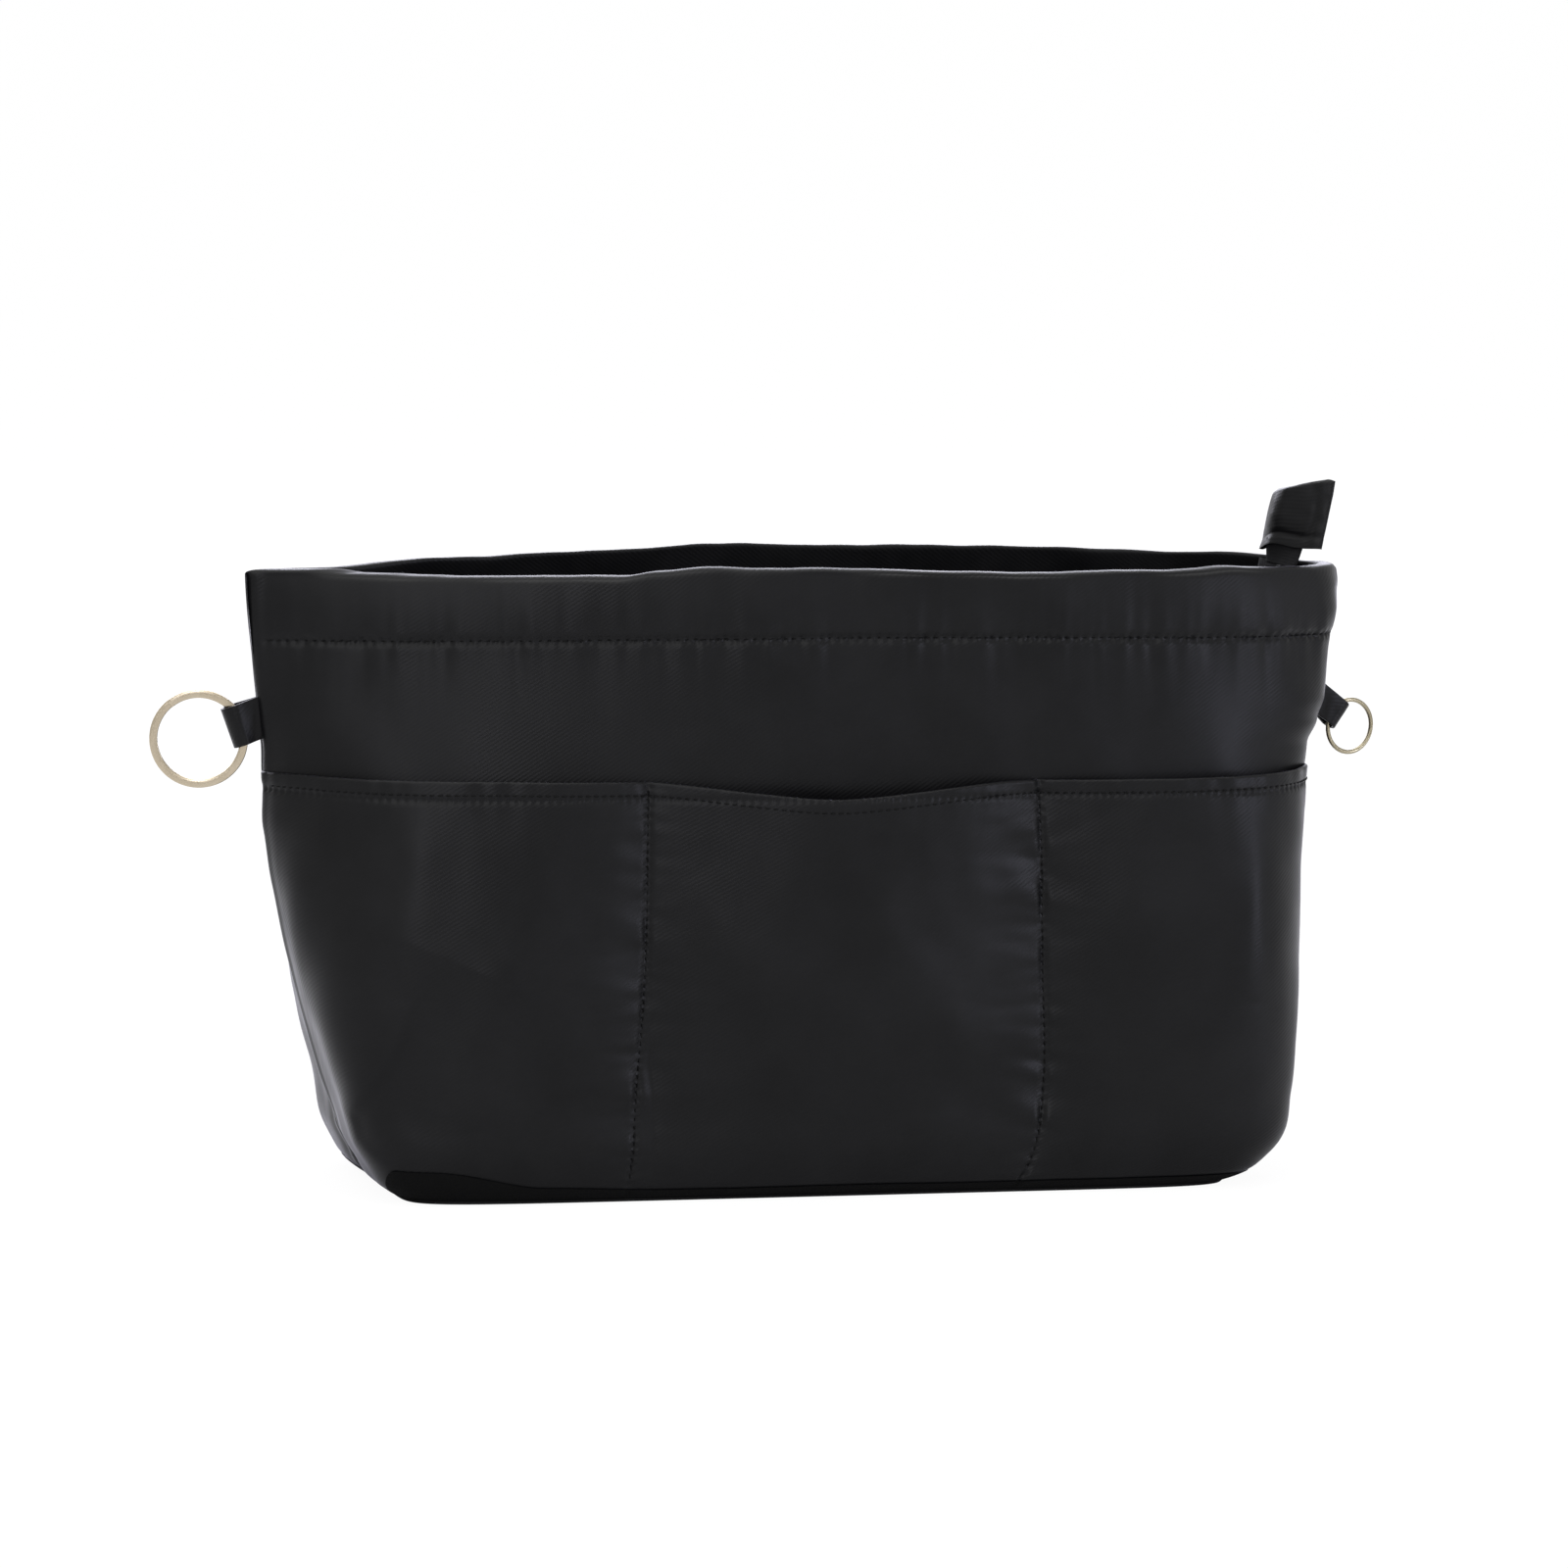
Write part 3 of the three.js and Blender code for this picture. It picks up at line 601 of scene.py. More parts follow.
def shell_relief(face, share, z):
    """The shell's casing and soft waves. It lies flat and a little back where the pocket covers it."""
    seed = 10 if face == FRONT else 40
    x = share * WALL_WIDTH
    ends = ease(0, 14, to_seam(share))
    soft = 1.1 * waves(x / 46, z / 70, seed + 3) + 0.5 * waves(x / 19 + z / 60, z / 34, seed + 4)
    clear = ease(POCKET_TOP[face] - 14, POCKET_TOP[face] + 2, z)
    relief = casing_relief(share, z, seed) + soft
    return relief * ends * clear + mix(-1.2, 0, clear) + seam_roll(share)


# The rim's rise at each share of its width
RIM_DIPS = {
    FRONT: ((0, -0.2), (0.05, -0.3), (0.08, -1.2), (0.14, -1.9), (0.31, -2.0), (0.34, -1.1), (0.385, -0.2),
            (0.46, -0.7), (0.61, -1.4), (0.66, -1.9), (0.79, -1.3), (0.855, -0.1), (0.91, -0.6), (1, -0.3)),
    BACK: ((0, -0.3), (0.07, -0.9), (0.15, -0.5), (0.27, -0.9), (0.35, -0.5), (0.44, 0.2), (0.575, -0.4),
           (0.68, -0.4), (0.85, -0.9), (0.92, -0.2), (0.97, -1.0), (1, -0.3))}


def rim_wave(face, share):
    """The rim's ups and downs as they are seen, where the boning bows between stitches."""
    x = share * WALL_WIDTH
    ends = ease(0, 20, to_seam(share))
    seed = 71 if face == FRONT else 81
    small = 0.25 * waves(x / 24, 0.3, seed) + 0.18 * waves(x / 9, 0.7, seed + 1)
    return through(RIM_DIPS[face], share) + ends * small


def shell_place(face):
    """The path of a shell cloth: up the wall, over the rim and down behind the boning as the facing."""
    radius = RIM_FOLD_RADIUS
    rise, over = HEIGHT - radius, math.pi * radius
    stops = ([0, 0.3, 0.62, 0.7, 0.78, 0.88, 1], [0, 100, 134, 146, rise, rise + over, rise + over + CASING])

    def place(u, v):
        run = np.interp(v, *stops)
        top = rim_height(u) - radius
        lift = rim_wave(face, u)
        turn = np.clip((run - rise) / radius, 0, math.pi)
        down = np.maximum(0, run - rise - over)
        rounded = squared(np.cos(turn), RIM_SQUARENESS)
        inset = radius * (1 - rounded)
        z = np.minimum(run, rise) * (top / rise) + radius * np.sin(turn) ** RIM_SQUARENESS - down
        z += (RIM_SLOPE * inset + lift * ease(110, rise, run)) * (1 - ease(0, CASING, down))
        relief = shell_relief(face, u, np.minimum(z, top)) * (1 - ease(0, 0.5, turn))
        x = u * WALL_WIDTH
        inner = 0.25 * waves(x / 6, z / 20, 91) * ease(0, 6, down)
        relief = relief + ease(2.5, 3.1, turn) * inner - 0.3 * waves(x / 26, 0.5, 95) * np.sin(turn)
        return wall(face, u, z, inset, relief), np.stack([x, run], axis=-1)

    return place


def boning_place(face):
    def place(u, v):
        top = rim_height(u) + rim_wave(face, u) - BONING_MARGIN
        z = mix(casing_bottom(u) + BONING_MARGIN, top, v)
        return wall(face, u, z, LINING_INSET + BONING / 2), np.stack([u * WALL_WIDTH, z], axis=-1)

    return place


def make_boning():
    """A springy strip of plastic in each casing, which holds the mouth open."""
    for side, face in SIDES:
        mesh = laid_grid(160, 4, boning_place(face), turned=face == BACK)
        strip = finish_piece(f"{side}_boning_strip", mesh, BONING_PLASTIC, "organizer",
                             (f"{side}_boning",))
        thicken(strip, BONING)


def make_shells():
    for side, face in SIDES:
        mesh = laid_grid(500, 190, shell_place(face), turned=face == BACK)
        shell = finish_piece(f"{side}_shell", mesh, NYLON, "organizer",
                             (f"{side}_panel", f"{side}_facing"))
        share = np.linspace(0.012, 0.988, 400)
        z = casing_bottom(share)
        sew(f"{side}_casing_stitches", face, share, z, 0, shell_relief(face, share, z), CASING_STITCH)


# Patch pockets


def pocket_swell(seams, bottom, top, most, share, z):
    """How far a patch pocket stands off the wall: shut along its seams, open at its mouth."""
    seams = np.array(seams)
    cell = np.clip(np.searchsorted(seams, share, side="right") - 1, 0, len(seams) - 2)
    across = np.clip((share - seams[cell]) / (seams[cell + 1] - seams[cell]), 0, 1)
    up = np.clip((z - bottom) / (top - bottom) / SWELL_RISE, 0, 1)
    return most * np.sin(math.pi * across) ** SWELL_ROUND * np.sin(math.pi / 2 * up)


def divider_line(base, z, seed):
    """A row of divider stitches wanders a little on its way down."""
    drift = -0.020 * ease(70, 0, z) if base < 0.5 else 0.0
    return base + drift + 0.0018 * waves(z / 22, 0.4, seed)


def seam_pull(share, z, dividers, seed):
    """Divider stitches hold the cloth down and draw short cross wrinkles towards them."""
    relief = 0
    for number, base in enumerate(dividers):
        away = (share - divider_line(base, z, seed + number)) * WALL_WIDTH
        near = np.exp(-np.abs(away) / np.where(away < 0, 8, 4.5))
        wrinkles = 1.0 * waves(z / 8 + away / 30, away / 25, seed + 5 + number)
        wrinkles += 0.55 * waves(z / 3.6, away / 12, seed + 9 + number)
        held = 1 - bell(away, 1.1)
        dents = -0.3 * bell(away, 0.8) * np.cos(2 * math.pi * z / DIVIDER_STITCH)
        relief = relief + wrinkles * near * held - 0.5 * bell(away, 0.9) + dents
    return relief


# The folds of the front pocket, each placed as it is seen: its line of (x, z) places, its width, its rise and
# what `fold` takes besides
FRONT_FOLDS = (
    # The lower left-hand corner: a crushed edge, with a hollow on its right
    ([(44, 54), (38, 39), (32, 30), (27, 22.5), (28, 16), (33, 11), (39, 8)], 5, 1.0, 1.8),
    ([(58, 62), (49, 42), (43, 26), (45, 12)], 14, -3.4),
    ([(66, 66), (58, 48), (52, 34), (54, 18)], 7.5, 1.4),
    ([(46, 104), (44, 80), (43, 52)], 8, 1.3),
    ([(18, 96), (14, 66), (12, 40)], 6, 0.6),
    # The right-hand end: two upright folds, and creases drawn in by the side seam
    ([(257, 101), (258, 82), (254, 48)], 2.5, 1.7, None, 12),
    ([(284, 96), (286, 66), (291, 36)], 7, 0.5),
    ([(306, 36), (294, 33), (280, 26)], 2.4, -1.7),
    ([(304, 46), (296, 40), (288, 44)], 3, 1.2),
    # Long soft waves where the cloth hangs slack between its seams
    ([(150, 92), (166, 60), (188, 34)], 9, 0.9),
    ([(112, 84), (124, 66), (142, 56)], 7, 0.8),
    ([(214, 96), (226, 72), (232, 44)], 10, 0.9))


def pocket_relief(face, share, z):
    """A patch pocket's waves, hem, puckers, folds and swell, and what its side seams draw in."""
    x = share * WALL_WIDTH
    seed = 110 if face == FRONT else 150
    dividers, top = DIVIDERS[face], POCKET_TOP[face]
    ends = ease(0, 12, to_seam(share))
    soft = 0.9 * waves(x / 52, z / 64, seed) + 0.4 * waves(x / 21 - z / 80, z / 30, seed + 1)
    soft += 0.16 * waves(x / 9, z / 12, seed + 2)
    low = 1.3 * bell(z - 13, 9)
    below = top - z
    hem = -0.35 * bell(below - HEM, 0.8) + 0.3 * waves(x / 4, z / 30, seed + 3) * np.exp(-below / 5)
    hem -= 0.25 * bell(below - HEM, 0.7) * np.cos(2 * math.pi * x / HEM_STITCH)
    relief = (soft + low) * ends + hem + seam_pull(share, z, dividers, seed + 20)
    if face == FRONT:
        relief = relief + sum(fold(x, z, *shape) for shape in FRONT_FOLDS) * ease(0, 5, to_seam(share))
    swell = pocket_swell((0, *dividers, 1), 0, top, POCKET_SWELL[face], share, z)
    swell = swell * ease(0, SWELL_ENDS[0], share) * ease(0, SWELL_ENDS[1], 1 - share)
    drawn = -0.7 * ease(9, 0, x) - 1.9 * ease(34, 4, WALL_WIDTH - x)
    if face == BACK:
        drawn = drawn - 2.2 * ease(56, 10, x) * ease(6, 30, z)
    return np.maximum(relief + swell, -0.75) + drawn + seam_roll(share, 2.4, 1.2)


def pocket_mouth(face, share):
    """The height of the pocket's edge, which dips a little between its seams."""
    x = share * WALL_WIDTH
    if face == BACK:
        return POCKET_TOP[face] + 0.5 * waves(x / 40, 0.2, 171)
    dip = -3.4 * bell(x - 150, 28) + 0.9 * bell(x - 60, 50)
    return POCKET_TOP[face] + 0.3 + dip + 0.35 * waves(x / 26, 0.6, 172) + 0.8 * ease(230, 300, x)


def pocket_place(face):
    """The path of a patch pocket: from under the base, up the wall to its mouth and down inside as a hem."""
    corner = math.pi / 2 * BOTTOM_RADIUS
    foot = 0.15
    wall_run = POCKET_TOP[face] - BOTTOM_RADIUS - HEM_FOLD_RADIUS
    # The grid's rows are shared out over stretches of the path, closest at the foot and by the mouth
    low, high = 24, 10
    parts = np.cumsum([0, UNDER_TURN, corner, low, wall_run - low - high, high, math.pi * HEM_FOLD_RADIUS,
                       HEM + 2.5])
    stops = ([0, 0.04, 0.12, 0.3, 0.78, 0.9, 0.95, 1], parts)

    def place(u, v):
        run = np.interp(v, *stops)
        under = np.clip(UNDER_TURN - run, 0, UNDER_TURN)
        turn = np.clip((run - UNDER_TURN) / BOTTOM_RADIUS, 0, math.pi / 2)
        climb = np.clip((run - parts[2]) / wall_run, 0, 1)
        top = pocket_mouth(face, u) - HEM_FOLD_RADIUS
        over = np.clip((run - parts[5]) / HEM_FOLD_RADIUS, 0, math.pi)
        down = np.maximum(0, run - parts[6])
        z = foot + BOTTOM_RADIUS * (1 - np.cos(turn)) * (turn < math.pi / 2)
        z = np.where(climb > 0, mix(BOTTOM_RADIUS + foot, top, climb), z)
        z = z + HEM_FOLD_RADIUS * np.sin(over) - down
        inset = POCKET_INSET + under + BOTTOM_RADIUS * (1 - np.sin(turn))
        inset = inset + HEM_FOLD_RADIUS * (1 - np.cos(over))
        relief = pocket_relief(face, u, np.minimum(z, top)) * ease(0, math.pi / 2, turn)
        return wall(face, u, z, inset, relief), np.stack([u * WALL_WIDTH, run], axis=-1)

    return place


def make_patch_pockets():
    for side, face in SIDES:
        mesh = laid_grid(500, 190, pocket_place(face), turned=face == BACK)
        pocket = finish_piece(f"{side}_pocket_cloth", mesh, NYLON, "organizer",
                              (f"{side}_pocket",))
        share = np.linspace(0.016, 0.984, 500)
        z = pocket_mouth(face, share) - HEM
        sew(f"{side}_pocket_hem_stitches", face, share, z, POCKET_INSET, pocket_relief(face, share, z),
            HEM_STITCH, 1.5, 0.5)
        seed = 130 if face == FRONT else 170
        for number, base in enumerate(DIVIDERS[face]):
            top = float(pocket_mouth(face, np.array([base]))[0])
            z = np.linspace(top - 0.5, 5, 300)
            share = divider_line(base, z, seed + number)
            sew(f"{side}_divider_stitches_{number + 1}", face, share, z, POCKET_INSET,
                pocket_relief(face, share, z), DIVIDER_STITCH, 1.7, 0.5)


# Lining, slip pockets and base


def lining_place(face):
    """A lining from the base up to the casing, a little slack."""
    def place(u, v):
        z = mix(LINING_BOTTOM, casing_bottom(u) + 2, v)
        x = u * WALL_WIDTH
        relief = -0.35 - 0.3 * waves(x / 30, z / 40, 210 + face) - 0.15 * waves(x / 11, z / 16, 220 + face)
        relief = relief * ease(0, 10, z - LINING_BOTTOM)
        return wall(face, u, z, LINING_INSET + 0.5, relief), np.stack([x, z], axis=-1)

    return place


def slip_place(face):
    """A slip pocket: its foot turned under, its cloth standing off the lining, and a hem at its mouth."""
    start, end = SLIP_SHARES
    inset = INNER_INSET + 0.3
    height = SLIP_POCKET_TOP - SLIP_POCKET_BOTTOM
    stops = ([0, 0.06, 0.85, 0.93, 1], [0, 4, height - 6, height, height + 7])

    def place(u, v):
        share = mix(start, end, u)
        run = np.interp(v, *stops)
        over = np.clip((run - height + 0.6) / 0.5, 0, math.pi)
        z = SLIP_POCKET_BOTTOM + np.minimum(run, height) - np.maximum(0, run - height)
        x = share * WALL_WIDTH
        z = z + 0.4 * waves(x / 30, 0.4, 231 + face) * ease(0, height, z - SLIP_POCKET_BOTTOM)
        swell = pocket_swell((start, 0.5, end), SLIP_POCKET_BOTTOM, SLIP_POCKET_TOP, SLIP_POCKET_SWELL,
                             share, z)
        away = np.abs(share - 0.5) * WALL_WIDTH
        pull = 0.5 * waves(z / 8, away / 20, 240 + face) * np.exp(-away / 6) * (1 - bell(away, 1.2))
        soft = 0.5 * waves(x / 30, z / 36, 250 + face) * np.sin(math.pi * u)
        layer = 0.45 * (1 - np.cos(over)) / 2
        off = 0.35 + swell + np.maximum(pull + soft, -0.3) * ease(0, 8, z - SLIP_POCKET_BOTTOM)
        return wall(face, share, z, inset, layer - off), np.stack([x, run], axis=-1)

    return place


def make_slip_stitches(side, face):
    """Rows of stitches on the side of a slip pocket that faces the mouth. Each is given by its places on the
    pocket's cloth."""
    place = slip_place(face)
    steps = 240
    even, still = np.linspace(0, 1, steps), np.ones(steps)
    across, upward = mix(0.01, 0.99, even), mix(0.06, 0.9, even)
    rows = {"hem": (across, 0.885 * still), "foot": (across, 0.05 * still),
            "divider": (0.5 * still, mix(0.06, 0.87, even)),
            "left_side": (0.012 * still, upward), "right_side": (0.988 * still, upward)}
    inward = np.tile([0.0, -face, 0.0], (steps, 1))
    for row, (u, v) in rows.items():
        points = place(u, v)[0] + inward * STITCH_PROUD
        stitch_row(f"{side}_slip_{row}_stitches", points, inward, LINING_THREAD, "organizer", 2.6, 1.8, 0.45)


def base_place(z, inset, seed, rise=0.3):
    """A cloth or board across the foot of the body, between the front and the back wall."""
    def place(u, v):
        front, back = wall(FRONT, u, z, inset), wall(BACK, u, z, inset)
        points = mix(front, back, v[:, None])
        points[:, 2] = z + rise * waves(points[:, 0] / 30, points[:, 1] / 26, seed)
        return points, points[:, :2] + 200

    return place


def shade_band_height(face, share):
    """How high the base cloth's flat black edge, a band of painted shade, comes up the wall. At the front it
    stands higher by the crushed left corner, as a wedge of painted shade.
    """
    x = share * WALL_WIDTH
    even = 3.0 + 0.3 * waves(x / 30, 0.4, 280)
    if face == BACK:
        return even
    # The wedge at the left is painted shade where the crushed corner turns under
    shade_wedge = ease(30, 36, x) * (1.4 * ease(110, 60, x) + 4.6 * ease(74, 44, x))
    return even + shade_wedge - 1.5 * ease(32, 28, x)


def base_edge_and_shade_band_place(face):
    """The edge of the base cloth: out from under the body, round its foot and up outside the pocket, where its
    flat black is painted shade.
    """
    under_run = UNDER_TURN - 1
    corner = math.pi / 2 * BOTTOM_RADIUS

    def place(u, v):
        high = shade_band_height(face, u)
        climbed = BOTTOM_RADIUS * np.arccos(np.clip(1 - high / BOTTOM_RADIUS, 0, 1))
        climbed = climbed + np.maximum(high - BOTTOM_RADIUS, 0)
        run = np.interp(v, [0, 0.2], [0, under_run]) + climbed * np.clip((v - 0.2) / 0.8, 0, 1)
        under = np.clip(under_run - run, 0, under_run)
        turn = np.clip((run - under_run) / BOTTOM_RADIUS, 0, math.pi / 2)
        climb = np.maximum(run - under_run - corner, 0)
        z = 0.05 + (BOTTOM_RADIUS + 0.1) * (1 - np.cos(turn)) + climb
        inset = POCKET_INSET + under + BOTTOM_RADIUS * (1 - np.sin(turn))
        relief = pocket_relief(face, u, z) * ease(0, math.pi / 2, turn) + 0.4 * np.sin(turn)
        return wall(face, u, z, inset, relief), np.stack([u * WALL_WIDTH, run], axis=-1)

    return place


def take_in(mesh, other):
    """Adds another mesh's faces to a mesh."""
    data = bpy.data.meshes.new("part")
    other.to_mesh(data)
    other.free()
    mesh.from_mesh(data)
    bpy.data.meshes.remove(data)


def make_inside():
    """Both linings with their slip pockets, the base lining and the base cloth, whose flat black edge up the
    foot of the walls is painted shade.
    """
    for side, face in SIDES:
        mesh = laid_grid(200, 110, lining_place(face), turned=face == FRONT)
        lining = finish_piece(f"{side}_lining_cloth", mesh, LINING, "organizer",
                              (f"{side}_lining",))
        mesh = laid_grid(180, 90, slip_place(face), turned=face == FRONT)
        slip = finish_piece(f"{side}_slip_pocket_cloth", mesh, LINING, "organizer",
                            (f"{side}_slip_pocket",))
        make_slip_stitches(side, face)
    mesh = laid_grid(120, 40, base_place(4.2, INNER_INSET, 260))
    floor_cloth = finish_piece("base_lining_cloth", mesh, LINING, "organizer",
                               ("base_lining",))
    mesh = laid_grid(120, 40, base_place(0.6, LINING_INSET, 270, 0.15), turned=True)
    for face in (FRONT, BACK):
        take_in(mesh, laid_grid(400, 24, base_edge_and_shade_band_place(face), turned=face == BACK))
    # The base cloth's flat black, darker than the satin, is painted shade along the foot of the body
    under = finish_piece("base_cloth_and_painted_shade", mesh, PAINTED_SHADE_NYLON, "organizer", ("base_panel",))


# The open zip


def wing_top(share):
    return casing_bottom(share) - SEWN_GAP


def wing_bottom(share):
    return wing_top(share) - WING_HEIGHT


def tape_top(share):
    return wing_bottom(share) - SEWN_GAP


def tape_bottom(share):
    return tape_top(share) - TAPE_WIDTH


def chain_top(share):
    return tape_bottom(share) - SEWN_GAP


def chain_bottom(share):
    return chain_top(share) - CHAIN_WIDTH


CHAIN_INSET = INNER_INSET + CHAIN_THICKNESS / 2


def wing_place(face):
    """A folded strip of cloth: down the side by the wall, round at the tape's edge and up by the mouth."""
    radius = LINING_CLOTH / 2

    def place(u, v):
        share = mix(*WING_SHARES, u)
        length = WING_HEIGHT - radius
        stops = ([0, 0.42, 0.58, 1], [0, length, length + math.pi * radius, 2 * length + math.pi * radius])
        run = np.interp(v, *stops)
        turn = np.clip((run - length) / radius, 0, math.pi)
        back_up = np.maximum(0, run - length - math.pi * radius)
        z = wing_top(share) - np.minimum(run, length) - radius * np.sin(turn) + back_up
        inset = INNER_INSET + radius * (1 - np.cos(turn))
        x = share * WALL_WIDTH
        hang = ease(0, 8, wing_top(share) - z)
        soft = hang * (0.5 * waves(x / 22, z / 50, 300 + face) + 0.2 * waves(x / 8, z / 20, 310 + face))
        gather = 0.35 * waves(x / 4, 0.5, 320 + face) * np.exp(-(wing_top(share) - z) / 5)
        return wall(face, share, z, inset, -soft - np.abs(gather)), np.stack([x, run], axis=-1)

    return place


def tape_strip_place(face):
    """The tape along a wing, from its coil up under the wing's lower edge."""
    def place(u, v):
        share = mix(*WING_SHARES, u)
        z = mix(chain_bottom(share) + 0.4, tape_top(share) + 3, v)
        x = share * WALL_WIDTH
        soft = 0.25 * waves(x / 22, z / 50, 300 + face)
        return wall(face, share, z, CHAIN_INSET, -soft), np.stack([x, z], axis=-1)

    return place


def coil_along(centres, across, normal):
    """A nylon coil: a flat helix of wire along a line. `across` and `normal` point across and through its
    tape."""
    run = length_along(centres)
    place = np.linspace(0, run[-1], int(run[-1] / COIL_PITCH * 10))
    middle, side, deep = (np.stack([np.interp(place, run, line[:, k]) for k in range(3)], axis=-1)
                          for line in (centres, across, normal))
    turn = 2 * math.pi * place / COIL_PITCH
    wide = CHAIN_WIDTH / 2 - COIL_WIRE / 2 + 0.15
    thick = CHAIN_THICKNESS / 2 - COIL_WIRE
    points = middle + side * (wide * np.cos(turn))[:, None] + deep * (thick * np.sin(turn))[:, None]
    return tube(points, np.gradient(middle, axis=0), (COIL_WIRE, COIL_WIRE), 6)


def tail_axes():
    """The zip tail's own axes: across the flat of its tape, through it and along it."""
    lean, turn = math.radians(TAIL_LEAN), math.radians(TAIL_TURN)
    along = np.array([math.sin(lean), 0, math.cos(lean)])
    level = np.array([math.cos(turn), math.sin(turn), 0])
    wide = unit(level - along * level.dot(along))
    return wide, np.cross(along, wide), along


TAIL_WIDE, TAIL_THICK, TAIL_ALONG = tail_axes()
TAIL_HINGE = np.array([RIM_HALF_WIDTH - TAIL_FROM_RIM_END, 0, HEIGHT + TAIL_HINGE_RISE])


def tail_point(a, b, c):
    """A point that lies `a` across the tail, `b` through it and `c` along it from its hinge."""
    a, b, c = np.broadcast_arrays(a, b, c)
    return TAIL_HINGE + np.multiply.outer(a, TAIL_WIDE) + np.multiply.outer(b, TAIL_THICK) \
        + np.multiply.outer(c, TAIL_ALONG)


def tail_run(face):
    """The zip's middle line from a wing's end up into the tail, and the way across the tape at each point."""
    def spot(share):
        share = np.array([share])
        return wall(face, share, chain_bottom(share) - CHAIN_HALF_GAP, CHAIN_INSET)[0]

    end = WING_SHARES[1]
    start = spot(end)
    onwards = unit(start - spot(end - 0.003))
    foot = tail_point(0, 0, -TAIL_LENGTH)
    after = foot - TAIL_ALONG * TAPE_FOOT_BEND
    before = mix(start + onwards * TAPE_START_BEND, after, TAPE_TURN_IN)
    t = np.linspace(0, 1, 33)[:, None]
    bend = start * (1 - t) ** 3 + 3 * before * t * (1 - t) ** 2 + 3 * after * t ** 2 * (1 - t) + foot * t ** 3
    straight = tail_point(0, 0, np.linspace(-TAIL_LENGTH, -1, 13))[1:]
    line = np.concatenate([bend, straight])
    share = np.array([end])
    upright = unit(wall(face, share, tape_top(share), CHAIN_INSET)[0]
                   - wall(face, share, chain_bottom(share), CHAIN_INSET)[0])
    goal = -face * TAIL_WIDE
    part = ease(0, 1, np.concatenate([t[:, 0], np.ones(12)]))[:, None]
    across = unit(mix(upright, goal, part))
    tangent = unit(np.gradient(line, axis=0))
    normal = unit(np.cross(tangent, across))
    return line, unit(np.cross(normal, tangent)), normal


def strip_along(line, across, near, far):
    """A strip of tape beside a line, from `near` to `far` across it."""
    run = length_along(line)

    def place(u, v):
        i = np.rint(u * (len(line) - 1)).astype(int)
        wide = mix(near, far, v)
        return line[i] + across[i] * wide[:, None], np.stack([run[i], wide], axis=-1)

    return place


def make_wing(side, face):
    """A wing of the zip with its tape and coil. The tape and the coil ride on the wing's body, which swings in
    about the wing's sewn top edge.
    """
    wing_body = f"{side}_wing"
    mesh = laid_grid(170, 48, wing_place(face), turned=face == BACK)
    wing = finish_piece(f"{side}_wing_cloth", mesh, NYLON, None, (f"{side}_zip_wing",))
    middle = np.array([0.55])
    upper = wall(face, middle, wing_top(middle), INNER_INSET)[0] * MM
    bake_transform(wing)
    mesh = laid_grid(170, 8, tape_strip_place(face))
    tape = finish_piece(f"{side}_tape", mesh, TAPE, wing_body, (f"{side}_zip_tape",))
    thicken(tape, TAPE_THICKNESS)
    share = np.linspace(*WING_SHARES, 400)
    z = (chain_top(share) + chain_bottom(share)) / 2
    line = wall(face, share, z, CHAIN_INSET)
    through_tape = unit(wall(face, share, z, 0, 5) - wall(face, share, z))
    upright = np.tile([0.0, 0.0, 1.0], (len(share), 1))
    finish_piece(f"{side}_coil", coil_along(line, upright, through_tape), COIL, wing_body,
                 (f"{side}_zip_chain",))


def make_tail(side, face):
    """The tape and the coil that run on from a wing's end up into the tail."""
    line, across, normal = tail_run(face)
    chain_middle = CHAIN_HALF_GAP + CHAIN_WIDTH / 2
    tape_edge = CHAIN_HALF_GAP + CHAIN_WIDTH + SEWN_GAP + TAPE_WIDTH
    mesh = laid_grid(len(line) - 1, 8, strip_along(line, across, chain_middle, tape_edge))
    tail = finish_piece(f"{side}_tail_tape_cloth", mesh, TAPE, None, (f"{side}_tail_tape",))
    thicken(tail, TAPE_THICKNESS)
    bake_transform(tail)
    mesh = coil_along(line + across * chain_middle, across, normal)
    coil = finish_piece(f"{side}_tail_coil", mesh, COIL, None, (f"{side}_tail_chain",))
    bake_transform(coil)


# The cap on the zip's tail


CAP_FOLDS = (([(-6.5, 17), (-6, 11), (-7, 6)], 1.6, 0.8), ([(5, 19), (6, 12), (5, 5)], 1.0, -0.5))


def twisted(wide, deep, up, twist):
    """A point of the tail that is turned about the tail's length by `twist` degrees."""
    cos, sin = np.cos(np.radians(twist)), np.sin(np.radians(twist))
    return tail_point(wide * cos - deep * sin, wide * sin + deep * cos, up)


